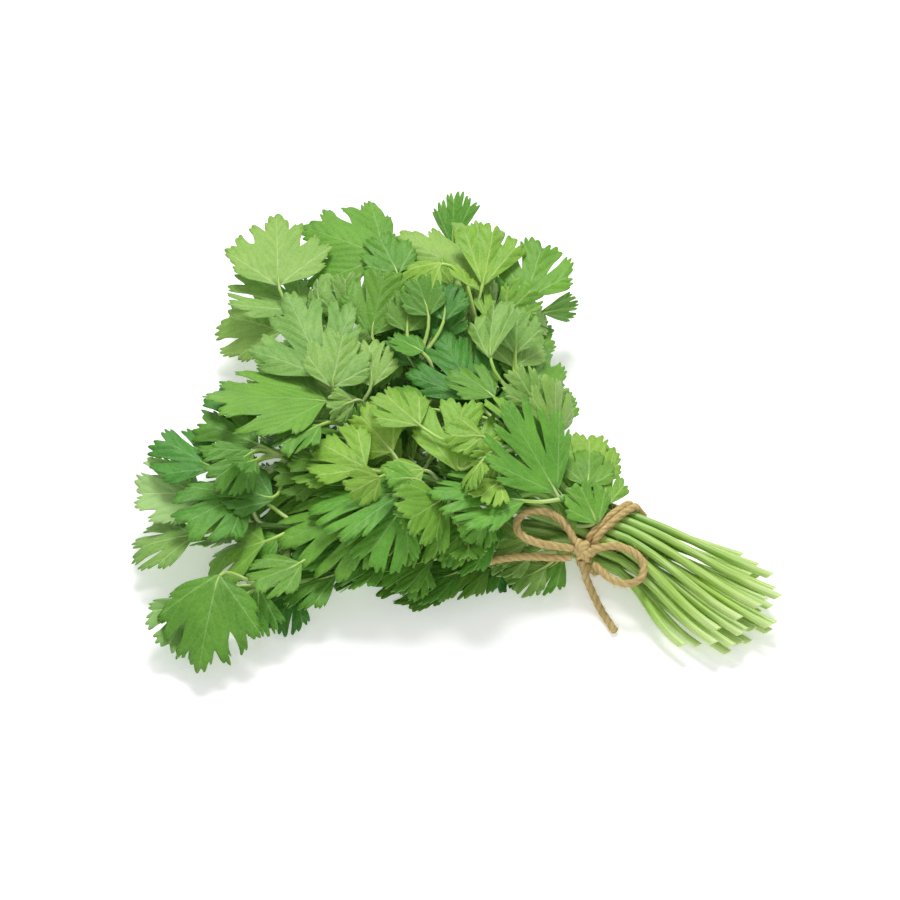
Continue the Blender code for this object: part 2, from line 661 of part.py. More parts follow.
def drop_scraps(mesh, flat_angle):
    """Joins faces that lie flat with each other, keeps only the largest body and turns its faces outwards."""
    work = bmesh.new()
    work.from_mesh(mesh)
    if flat_angle:
        bmesh.ops.dissolve_limit(work, angle_limit=flat_angle, verts=work.verts, edges=work.edges)
    bmesh.ops.triangulate(work, faces=work.faces)
    left, bodies = set(work.verts), []
    while left:
        waiting, body = [left.pop()], []
        while waiting:
            vertex = waiting.pop()
            body.append(vertex)
            for edge in vertex.link_edges:
                other = edge.other_vert(vertex)
                if other in left:
                    left.remove(other)
                    waiting.append(other)
        bodies.append(body)
    bodies.sort(key=len)
    for body in bodies[:-1]:
        bmesh.ops.delete(work, geom=body, context="VERTS")
    if work.calc_volume(signed=True) < 0:
        bmesh.ops.reverse_faces(work, faces=work.faces)
    work.to_mesh(mesh)
    work.free()


def union(name, shapes, solver, flat_angle):
    """One object from overlapping shapes, by a Boolean union on a collection."""
    scene = bpy.context.scene.collection
    group = bpy.data.collections.new(name + "_parts")
    scene.children.link(group)
    body = make_object(name, shapes[0], scene)
    for k, shape in enumerate(shapes[1:]):
        make_object(f"{name}_piece_{k}", shape, group)
    joint = body.modifiers.new("union", "BOOLEAN")
    joint.operation = "UNION"
    joint.operand_type = "COLLECTION"
    joint.collection = group
    joint.solver = solver
    bpy.context.view_layer.update()
    fused = bpy.data.meshes.new_from_object(body.evaluated_get(bpy.context.evaluated_depsgraph_get()))
    body.modifiers.clear()
    old = body.data
    body.data = fused
    bpy.data.meshes.remove(old)
    for piece in list(group.objects):
        bpy.data.objects.remove(piece)
    bpy.data.collections.remove(group)
    drop_scraps(fused, flat_angle)
    return body


def fuse(name, shapes_for, look):
    """One whole object from shapes_for(further), whose stalks reach a little further until the union is sound."""
    ways = [(further, solver, flat_angle) for further in (0.0, 0.45, 0.9, -0.4, 1.35, 0.2)
            for solver in ("EXACT", "MANIFOLD") for flat_angle in (FLAT_ANGLE, 0.0)]
    for further, solver, flat_angle in ways:
        body = union(name, shapes_for(further), solver, flat_angle)
        if is_whole(body.data):
            break
        bpy.data.objects.remove(body)
    body.name = name
    mesh = body.data
    mesh.name = name
    mesh.materials.clear()
    mesh.materials.append(look)
    mesh.shade_smooth()
    mesh.set_sharp_from_angle(angle=math.radians(40))
    return body


def sprig_shapes(sprig, further):
    """The solids of one sprig: its stem, and each leaflet's stalk and blade."""
    shapes = [stem_shape(sprig["path"])]
    for k, leaf in sprig["leaves"]:
        shapes += [stalk_shape(sprig, leaf, k, further), blade(leaf)]
    return shapes


def make_cord(name, points, look):
    """A free stretch of twine as a bevelled curve with closed ends."""
    curve = bpy.data.curves.new(name, "CURVE")
    curve.dimensions = "3D"
    curve.bevel_depth = TWINE_RADIUS * MM
    curve.bevel_resolution = 2
    curve.use_fill_caps = True
    line = curve.splines.new("POLY")
    route = smooth_route([Vector(point) for point in points], TWINE_RADIUS * 4)
    line.points.add(len(route) - 1)
    for spot, point in zip(line.points, route):
        spot.co = (*(point * MM), 1)
    curve.materials.append(look)
    made = bpy.data.objects.new(name, curve)
    bpy.context.scene.collection.objects.link(made)
    return made


def clear_scene():
    for old in list(bpy.data.objects):
        bpy.data.objects.remove(old)


def main():
    clear_scene()
    looks = {name: material(name) for name in COLOURS}
    wrap = [wrap_turn(0.0), wrap_turn(WRAP_TURN_GAP)]
    knot = knot_shapes()
    cords = []
    for points in TWINE_ROUTES.values():
        route = smooth_route([Vector(point) for point in points], TWINE_RADIUS * 4)
        cords.append(tube(route, [TWINE_RADIUS * 1.03] * len(route), 12))
    sprigs = lay_out(wrap + knot + cords)
    for number, sprig in enumerate(sprigs, 1):
        fuse(f"leafy_stem_{number:02d}", lambda further: sprig_shapes(sprig, further), looks[sprig["colour"]])
    fuse("twine_wrap", lambda further: wrap, looks["twine"])
    fuse("twine_knot", lambda further: knot, looks["twine"])
    for name, points in TWINE_ROUTES.items():
        make_cord(name, points, looks["twine"])


main()
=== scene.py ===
# %% [markdown]
# # A bunch of coriander, tied with jute twine
#
# A shop bunch lies on a table: about thirty leafy stems, two turns of jute twine and a bow. Each stem
# grew as one piece, with thin stalks that end in toothed leaflets, so each stem is one piece here too.
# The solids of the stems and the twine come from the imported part. This script lays finer shapes on the
# same lines and gives them their look.

# %% Frame
import math
import random

import bpy
import numpy as np
from mathutils import Matrix, Vector
from mathutils.bvhtree import BVHTree


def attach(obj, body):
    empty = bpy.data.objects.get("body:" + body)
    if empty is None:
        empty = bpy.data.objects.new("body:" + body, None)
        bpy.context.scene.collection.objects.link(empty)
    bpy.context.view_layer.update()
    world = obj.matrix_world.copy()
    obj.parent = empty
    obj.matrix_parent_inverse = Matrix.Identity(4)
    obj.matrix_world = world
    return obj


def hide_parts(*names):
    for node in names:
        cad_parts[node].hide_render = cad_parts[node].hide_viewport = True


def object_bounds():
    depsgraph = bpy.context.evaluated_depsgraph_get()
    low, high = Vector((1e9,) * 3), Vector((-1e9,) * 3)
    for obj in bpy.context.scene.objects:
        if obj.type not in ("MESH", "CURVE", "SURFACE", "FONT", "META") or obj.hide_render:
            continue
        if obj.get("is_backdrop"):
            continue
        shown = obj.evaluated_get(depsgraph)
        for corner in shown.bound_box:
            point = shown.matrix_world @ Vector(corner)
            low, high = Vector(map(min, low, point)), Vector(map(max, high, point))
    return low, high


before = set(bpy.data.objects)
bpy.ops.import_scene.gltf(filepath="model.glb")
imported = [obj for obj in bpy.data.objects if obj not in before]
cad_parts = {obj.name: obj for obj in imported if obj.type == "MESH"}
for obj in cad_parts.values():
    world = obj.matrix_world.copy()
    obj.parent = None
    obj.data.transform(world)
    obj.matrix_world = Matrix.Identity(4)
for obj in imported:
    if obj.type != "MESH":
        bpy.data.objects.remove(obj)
size_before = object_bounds()
print("nodes in the frame:", len(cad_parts))


def linear(code):
    """A colour such as "#6DB044" as linear red, green, blue and 1."""
    parts = [int(code[i:i + 2], 16) / 255 for i in (1, 3, 5)]
    return (*(c / 12.92 if c <= 0.04045 else ((c + 0.055) / 1.055) ** 2.4 for c in parts), 1.0)


def add_piece(name, mesh, nodes=()):
    """Adds a mesh as a piece of the bunch, in the place of CAD nodes if it names any."""
    piece = bpy.data.objects.new(name, mesh)
    bpy.context.scene.collection.objects.link(piece)
    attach(piece, "root")
    if nodes:
        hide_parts(*nodes)
    return piece


# %% [markdown]
# ## Camera
# The bunch is seen from above at about 50 degrees, from the side of its cut stems. A long lens keeps the
# far leaves nearly as large as the near ones.

# %% Camera
CAMERA_AZIMUTH = math.radians(28)
CAMERA_HEIGHT = math.radians(50)
CAMERA_AWAY = 2.0
LOOKS_AT = Vector((-0.0806, 0.0195, 0.0))

away = Vector((math.sin(CAMERA_AZIMUTH) * math.cos(CAMERA_HEIGHT),
               -math.cos(CAMERA_AZIMUTH) * math.cos(CAMERA_HEIGHT), math.sin(CAMERA_HEIGHT)))
lens = bpy.data.cameras.new("camera")
lens.lens = 200
lens.sensor_width = 36
camera = bpy.data.objects.new("camera", lens)
camera.location = LOOKS_AT + away * CAMERA_AWAY
camera.rotation_mode = "QUATERNION"
camera.rotation_quaternion = (-away).to_track_quat("-Z", "Y")
bpy.context.scene.collection.objects.link(camera)
bpy.context.scene.camera = camera
print("camera at", [round(c, 3) for c in camera.location])

# %% [markdown]
# ## Sizes
# These are the sizes and tables that the solids were made with, in millimetres. Using the same ones keeps
# every stem, leaflet and turn of twine on its solid.

# %% Sizes
MM = 0.001
SEED = 26

# Stems
STEM_RADIUS = 1.8
STEM_TIP_RADIUS = 1.15
STALK_RADIUS = 0.95
STALK_TIP_RADIUS = 0.75
STEM_SIDES = 5
STALK_SIDES = 4
STEM_RINGS_TO_LEAVES = 6
STEM_RINGS_TO_CUT = 3
STALK_RINGS = 3
STRAIGHT_HALF = 10.0
SHORT_REACH = 32.0
LONG_SPAN = 80.0
SLOT_PITCH = 4.1
ROW_SLOTS = (5, 6, 7, 6, 5)
TOP_DOME = 0.22
CUT_REACH = 71.5
CUT_SPREAD = 2.05
CUT_ASIDE = 5.0
CUT_ROUNDING = 0.035
CUT_JITTER = 0.2
CUT_SETTLE = 0.7
CUT_SLANT = 0.7

# Leaflets
BLADE_THICKNESS = 0.62
BLADE_GRIP = 4.0
HUB_SHARE = 0.3
HUB_ANGLE = 0.13
GAP = 0.35
SMALL_LEAFLET = 28.5
LARGE_LEAFLET = 36.0
FLOOR = 0.31

# Twine
TWINE_RADIUS = 1.5
TWINE_SIDES = 6
WRAP_TURN_GAP = 2.85
WRAP_YAW = math.radians(16)
WRAP_STEP = math.radians(26)
TWINE_ROUTES = {
    "twine_loop_left": [(-8.0, -15.2, 24), (-13, -12.8, 27.2), (-19.7, -12.4, 29.5), (-26, -15.5, 30.5),
                        (-29, -21, 30), (-26.5, -25.8, 28.5), (-20, -26, 26.8), (-13.5, -22.8, 24.5),
                        (-8.4, -19.0, 22)],
    "twine_loop_right": [(2.2, -14.8, 23.2), (7.5, -11.8, 24.4), (14.5, -10.4, 24.2), (20.8, -12.2, 22.2),
                         (22.5, -17, 19), (18, -20.7, 17), (11, -21, 16.6), (4.8, -19.2, 17.6)],
    "twine_tail_left": [(-8, -21.2, 18.4), (-14, -25.3, 19.6), (-21.5, -29.4, 20.2), (-28.5, -33.4, 19.4),
                        (-34, -37, 18)],
    "twine_tail_front": [(-1.5, -19.5, 15.6), (1.5, -21.5, 10.5), (6, -24, 5.6), (10.8, -26.8, 2.3),
                         (15.2, -29.6, 1.65), (19.4, -32.6, 1.65)],
}
KNOT_AT = (-3.2, -16.6, 20.6)

# %% Points, directions and tubes
def place(bearing, reach, height):
    """The point at a bearing, reach and height."""
    turn = math.radians(bearing)
    return Vector((-reach * math.cos(turn), reach * math.sin(turn), height))


def along(heading, pitch=0.0):
    """The unit direction with a heading in plan and a pitch above it."""
    turn, rise = math.radians(heading), math.radians(pitch)
    return Vector((-math.cos(turn) * math.cos(rise), math.sin(turn) * math.cos(rise), math.sin(rise)))


def bezier(points, count):
    """Evenly timed points along the cubic curve with four control points."""
    a, b, c, d = points
    times = [i / (count - 1) for i in range(count)]
    return [a * (1 - t) ** 3 + b * (3 * t * (1 - t) ** 2) + c * (3 * t * t * (1 - t)) + d * t ** 3
            for t in times]


def smooth_route(points, step):
    """Points a step apart along a Catmull-Rom curve through the route's points."""
    ends = [points[0] * 2 - points[1], *points, points[-1] * 2 - points[-2]]
    fine = []
    for p, q, r, s in zip(ends, ends[1:], ends[2:], ends[3:]):
        for i in range(12):
            t = i / 12
            fine.append((q * 2 + (r - p) * t + (p * 2 - q * 5 + r * 4 - s) * t * t
                         + (q * 3 - p - r * 3 + s) * t ** 3) / 2)
    fine.append(points[-1])
    lengths = [0.0]
    for a, b in zip(fine, fine[1:]):
        lengths.append(lengths[-1] + (b - a).length)
    count = max(2, round(lengths[-1] / step) + 1)
    route, i = [], 0
    for k in range(count):
        goal = lengths[-1] * k / (count - 1)
        while i < len(fine) - 2 and lengths[i + 1] < goal:
            i += 1
        share = (goal - lengths[i]) / max(lengths[i + 1] - lengths[i], 1e-9)
        route.append(fine[i].lerp(fine[i + 1], share))
    return route


def ring_faces(rings, sides, closed=False):
    """The quads between rings of points, and the two end caps of a tube that isn't closed."""
    faces = []
    for i in range(rings if closed else rings - 1):
        after = (i + 1) % rings * sides
        for k in range(sides):
            left = (k + 1) % sides
            faces.append((i * sides + k, i * sides + left, after + left, after + k))
    if not closed:
        faces += [tuple(reversed(range(sides))), tuple(range((rings - 1) * sides, rings * sides))]
    return faces


def tube(path, radii, sides, slant=0.0):
    """A closed tube along a path. The slant shears its first end, as a diagonal cut."""
    points, last = [], len(path) - 1
    across = None
    for i, centre in enumerate(path):
        ahead = (path[min(i + 1, last)] - path[max(i - 1, 0)]).normalized()
        across = across or ahead.orthogonal().normalized()
        across = (across - ahead * across.dot(ahead)).normalized()
        upright = ahead.cross(across)
        for k in range(sides):
            turn = 2 * math.pi * k / sides
            shift = slant * radii[0] * math.cos(turn) if i == 0 else 0.0
            points.append(centre + (across * math.cos(turn) + upright * math.sin(turn)) * radii[i]
                          + ahead * shift)
    return points, ring_faces(len(path), sides)


def gather(shapes):
    """Several shapes' points, faces and strand coordinates as one shape's."""
    points, faces, strand = [], [], []
    for more, sides, lie in shapes:
        faces += [tuple(i + len(points) for i in side) for side in sides]
        points += more
        strand += lie
    return points, faces, strand

# %% [markdown]
# ## Jute twine
# Jute twine is three plies twisted together, each a bundle of coarse golden fibres. The plies show as
# slanting ridges, so the tube's section has three lobes and turns along the way. Loose fibres stand off
# it all over, and its cut ends fray. It could be one round tube with a drawn pattern, but the ridges
# catch the light at this size.

# %% A twisted tube
TWIST_LENGTH = 11.0
PLIES = 3
TWIST_SIDES = 24
TWIST_STEP = 0.42
GROOVE = 0.17


def ring_frames(path, closed):
    """For each point of a path: its tangent and two directions across it, carried along without twist."""
    count = len(path)
    frames, across = [], None
    for i in range(count):
        a = path[i - 1] if closed or i else path[0]
        b = path[(i + 1) % count] if closed or i < count - 1 else path[-1]
        ahead = (b - a).normalized()
        across = (across or ahead.orthogonal()).copy()
        across = (across - ahead * across.dot(ahead)).normalized()
        frames.append((ahead, across, ahead.cross(across)))
    return frames


def twisted_tube(path, radius, closed=False, flat_floor=None, phase=0.0):
    """Points, faces and strand coordinates of twisted twine along a path.

    The coordinates are the way round a ply, the length along the path in millimetres, and how deep a point
    lies in the groove between plies.
    """
    frames = ring_frames(path, closed)
    points, strand = [], []
    gone = 0.0
    if closed:
        # the carried directions come back turned by this much, and whole plies must meet
        ahead, across, upright = frames[0]
        last = (frames[-1][1] - ahead * frames[-1][1].dot(ahead)).normalized()
        turned = math.atan2(last.dot(upright), last.dot(across))
        length = sum((path[i] - path[i - 1]).length for i in range(len(path)))
        turns = round(length / TWIST_LENGTH * PLIES) / PLIES
        per_mm = (2 * math.pi * turns - turned) / length
    else:
        per_mm = 2 * math.pi / TWIST_LENGTH
    for i, centre in enumerate(path):
        if i:
            gone += (path[i] - path[i - 1]).length
        _, across, upright = frames[i]
        for k in range(TWIST_SIDES):
            turn = 2 * math.pi * k / TWIST_SIDES
            ply = abs(math.cos(PLIES / 2 * turn))
            out = radius * (1 - GROOVE * (1 - ply ** 0.75))
            lie = turn + gone * per_mm + phase
            point = centre + (across * math.cos(lie) + upright * math.sin(lie)) * out
            if flat_floor is not None:
                point.z = max(point.z, flat_floor)
            points.append(point)
            strand.append((turn * PLIES / (2 * math.pi), gone, 1 - ply))
    return points, ring_faces(len(path), TWIST_SIDES, closed), strand


def build_mesh(name, points, faces, attributes, materials, face_materials=None):
    """A smooth mesh in metres from points in millimetres, with vector attributes on its points."""
    mesh = bpy.data.meshes.new(name)
    mesh.from_pydata([tuple(c * MM for c in point) for point in points], [], faces)
    for label, values in attributes.items():
        made = mesh.attributes.new(label, "FLOAT_VECTOR", "POINT")
        made.data.foreach_set("vector", np.asarray(values, np.float32).ravel())
    for look in materials:
        mesh.materials.append(look)
    if face_materials is not None:
        mesh.polygons.foreach_set("material_index", np.asarray(face_materials, np.int32))
    mesh.shade_smooth()
    mesh.update()
    return mesh


# %% Materials
def scale_of(size_mm):
    """A texture's scale, for features of a size in millimetres on coordinates in metres."""
    return 1000.0 / size_mm


def make_look(name, finish, *colours):
    """A material; finish(add, *colours) returns the shader's inputs by name, as plain values or sockets."""
    look = bpy.data.materials.new(name)
    look.use_nodes = True
    nodes, links = look.node_tree.nodes, look.node_tree.links

    def give(node, inputs):
        for key, value in inputs.items():
            if isinstance(value, bpy.types.NodeSocket):
                links.new(value, node.inputs[key])
            else:
                node.inputs[key].default_value = value

    def add(kind, inputs, output=0, stops=(), **settings):
        """Adds one node with its settings, values and links, and returns one of its outputs."""
        node = nodes.new("ShaderNode" + kind)
        for key, value in settings.items():
            setattr(node, key, value)
        for spot, (position, colour) in enumerate(stops):
            elements = node.color_ramp.elements
            step = elements[spot] if spot < 2 else elements.new(position)
            step.position, step.color = position, colour
        give(node, inputs)
        return node.outputs[output]

    give(nodes["Principled BSDF"], finish(add, *colours))
    return look


def carried(add, label):
    """The three numbers that each point of a mesh carries under a label."""
    values = add("Attribute", {}, "Vector", attribute_name=label)
    return [add("SeparateXYZ", {"Vector": values}, axis) for axis in "XYZ"]


# %% [markdown]
# The fibres run along each ply, so the noise is stretched along the strand: fine across, long along. Jute
# is golden brown and paler where fibres stand proud; the grooves are darkened with painted shade. It has no
# shine.

# %% Jute
def jute_finish(add):
    around, along, depth = carried(add, "strand")
    fine_across = add("Math", {0: around, 1: 9.0}, operation="MULTIPLY")
    long_along = add("Math", {0: along, 1: 0.35}, operation="MULTIPLY")
    fibre_spot = add("CombineXYZ", {"X": fine_across, "Y": long_along})
    fibres = add("TexNoise", {"Vector": fibre_spot, "Scale": 1.6, "Detail": 4.0})
    spot = add("TexCoord", {}, "Object")
    patches = add("TexNoise", {"Vector": spot, "Scale": scale_of(11), "Detail": 2.0})
    # Bundles of fibre, each its own shade of straw: the twine looks combed along its twist.
    straw = add("ValToRGB", {"Fac": fibres}, stops=[(0.28, linear("#B0854A")), (0.75, linear("#F6E7BE")),
                                                    (0.45, linear("#E4CA88")), (0.60, linear("#F0DCA0"))])
    # Stretches that took less bleaching: the colour wanders over a centimetre.
    wander = add("Math", {0: patches, 1: 0.35}, operation="MULTIPLY")
    straw = add("Mix", {0: wander, 6: straw, 7: linear("#C9A664")}, 2, data_type="RGBA")
    # Painted shade: little light reaches the grooves between the plies, so a brown line parts the strands
    # there.
    groove_shade = add("Math", {0: depth, 1: 0.42}, operation="MULTIPLY", use_clamp=True)
    straw = add("Mix", {0: groove_shade, 6: straw, 7: linear("#957640")}, 2, data_type="RGBA")
    bump = add("Bump", {"Height": fibres, "Strength": 1.0, "Distance": 0.0006})
    return {"Base Color": straw, "Roughness": 0.92, "Specular IOR Level": 0.15, "Normal": bump}


jute = make_look("jute twine, spun and unbleached", jute_finish)


def add_twine(name, shape, nodes=()):
    """Adds a piece of twine from its points, faces and strand coordinates."""
    points, faces, strand = shape
    print(name, "has", len(faces), "faces")
    return add_piece(name, build_mesh(name, points, faces, {"strand": strand}, [jute]), nodes)


# %% [markdown]
# ## The bow's loops and tails
# The bow was tied with the twine's two ends. Each loop goes out from the knot and comes back into it; the
# left tail lies on the stems and the front tail hangs over them down to the table.

# %% Loops and tails
INTO_KNOT = 2.1
NEAR_KNOT = 11
cord_paths = {}


def into_knot(path):
    """The path with each end that stops beside the knot led on into it."""
    knot, count = Vector(KNOT_AT), int(INTO_KNOT / TWIST_STEP)
    for _ in range(2):
        path = path[::-1]
        if (path[-1] - knot).length < NEAR_KNOT:
            ahead = ((path[-1] - path[-2]).normalized() + (knot - path[-1]).normalized() * 0.6).normalized()
            path = path + [path[-1] + ahead * TWIST_STEP * (i + 1) for i in range(count)]
    return path


for name, route in TWINE_ROUTES.items():
    path = smooth_route([Vector(point) for point in route], TWIST_STEP)
    cord_paths[name] = path
    twine = twisted_tube(into_knot(path), TWINE_RADIUS * 1.04, phase=len(cord_paths))
    piece = add_twine(name + "_twine", twine, [name])

# %% [markdown]
# ## The band and the knot
# Two turns of twine hold the stems, side by side and pulled tight. The knot is three short bights that
# cross.

# %% Band
def tie_slots():
    """The stems' places in the tie as (y, z), in hexagonal rows that are domed on top."""
    slots = []
    rise = SLOT_PITCH * math.sqrt(3) / 2
    base = TWINE_RADIUS * 0.866 * 2 + GAP + STEM_RADIUS
    half = SLOT_PITCH * (max(ROW_SLOTS) - 1) / 2
    for row, count in enumerate(ROW_SLOTS):
        for k in range(count):
            y = SLOT_PITCH * (k - (count - 1) / 2)
            slots.append((y, base + row * rise * (1 + TOP_DOME * (1 - (y / half) ** 2))))
    return slots


def wrap_stations():
    """The tight band's path round the stems, as (centre, outward direction), both in the YZ plane."""
    slots = tie_slots()
    middle = sum(z for _, z in slots) / len(slots)
    hull = []
    for y, z in sorted(slots, key=lambda s: math.atan2(s[1] - middle, s[0])):
        hull.append(Vector((y, z)))
    changed = True
    while changed:
        changed = False
        for i in range(len(hull)):
            a, b, c = hull[i - 1], hull[i], hull[(i + 1) % len(hull)]
            if (b - a).x * (c - b).y - (b - a).y * (c - b).x <= 1e-6:
                hull.pop(i)
                changed = True
                break
    offset = STEM_RADIUS + GAP + TWINE_RADIUS * 0.866
    stations = []
    for i in range(len(hull)):
        a, b, c = hull[i - 1], hull[i], hull[(i + 1) % len(hull)]
        start = math.atan2(-(b - a).x, (b - a).y)
        end = math.atan2(-(c - b).x, (c - b).y)
        while end < start:
            end += 2 * math.pi
        count = max(1, math.ceil((end - start) / WRAP_STEP))
        for k in range(count + 1):
            turn = start + (end - start) * k / count
            out = Vector((math.cos(turn), math.sin(turn)))
            stations.append((b + out * offset, out))
    return stations


def wrap_turn(x):
    """One turn of the band as a closed ring with a flat outer side."""
    points, faces = [], []
    stations = wrap_stations()
    for centre, out in stations:
        for k in range(TWINE_SIDES):
            turn = math.pi * (2 * k + 1) / TWINE_SIDES
            away = math.cos(turn) * TWINE_RADIUS
            points.append(Vector((x + centre.x * math.tan(WRAP_YAW) + math.sin(turn) * TWINE_RADIUS,
                                  centre.x + out.x * away, centre.y + out.y * away)))
    count = len(stations)
    for i in range(count):
        for k in range(TWINE_SIDES):
            a, b = i * TWINE_SIDES + k, i * TWINE_SIDES + (k + 1) % TWINE_SIDES
            c, d = (i + 1) % count * TWINE_SIDES + (k + 1) % TWINE_SIDES, (i + 1) % count * TWINE_SIDES + k
            faces.append((a, d, c, b))
    return points, faces

# The knot's bights: how each leans, in radians, and half its length. They sink and bulge along one way.
KNOT_BIGHTS = ((0.2, 4.4), (1.3, 3.6), (2.3, 3.8))
KNOT_OUTWARD = Vector((0.0, -0.8, 0.6))
KNOT_SINK = 1.0
KNOT_BULGE = 1.8


def knot_lines(count):
    """The middle lines of the bow's knot: three short bights that cross one another."""
    centre, out = Vector(KNOT_AT), KNOT_OUTWARD
    lines = []
    for lean, tall in KNOT_BIGHTS:
        side = Vector((math.cos(lean), 0.35 * math.sin(lean), 0.9 * math.sin(lean)))
        corners = [centre - side * tall - out * KNOT_SINK, centre - side * tall * 0.5 + out * KNOT_BULGE,
                   centre + side * tall * 0.5 + out * KNOT_BULGE, centre + side * tall - out * KNOT_SINK]
        lines.append(bezier(corners, count))
    return lines


def band_path(x):
    """The middle of one turn of the band, smooth and closed."""
    ring = [Vector((x + centre.x * math.tan(WRAP_YAW), centre.x, centre.y))
            for centre, _ in wrap_stations()]
    kept = [spot for i, spot in enumerate(ring) if (spot - ring[i - 1]).length > 0.2]
    fine = smooth_route(kept * 3, TWIST_STEP)
    third = len(fine) // 3
    start, end = (min(range(near - 20, near + 20), key=lambda i: (fine[i] - kept[0]).length)
                  for near in (third, 2 * third))
    return fine[start:end]


add_twine("twine_band", gather(twisted_tube(band_path(x), TWINE_RADIUS * 0.98, True, 0.0, x)
                               for x in (0.0, WRAP_TURN_GAP)), ["twine_wrap"])

# %% Knot
BIGHT_RADIUS = 1.95
add_twine("twine_knot_bights", gather(twisted_tube(line, BIGHT_RADIUS, phase=k)
                                      for k, line in enumerate(knot_lines(22))), ["twine_knot"])

# %% [markdown]
# ## Where everything grows
# The stems are laid one by one through the tie, and then the leaflets, each moved a little until it is
# clear of the others. It is the search that placed the solids, with the same seeds, so it ends in the
# same places.

# %% Leaflet shapes
# A leaflet's kind: half the angle it spans at its base, how far its slits and its base corners reach out as
# shares of its length, and the depth of the notches between its teeth.
KINDS = {
    "broad": {"span": 70, "slit": 0.60, "corner": 0.34, "notch": 0.86},
    "cut": {"span": 60, "slit": 0.42, "corner": 0.30, "notch": 0.80},
    "feather": {"span": 58, "slit": 0.34, "corner": 0.26, "notch": 0.72},
    "narrow": {"span": 38, "slit": 0.50, "corner": 0.32, "notch": 0.80},
}
ROUNDING = 0.75
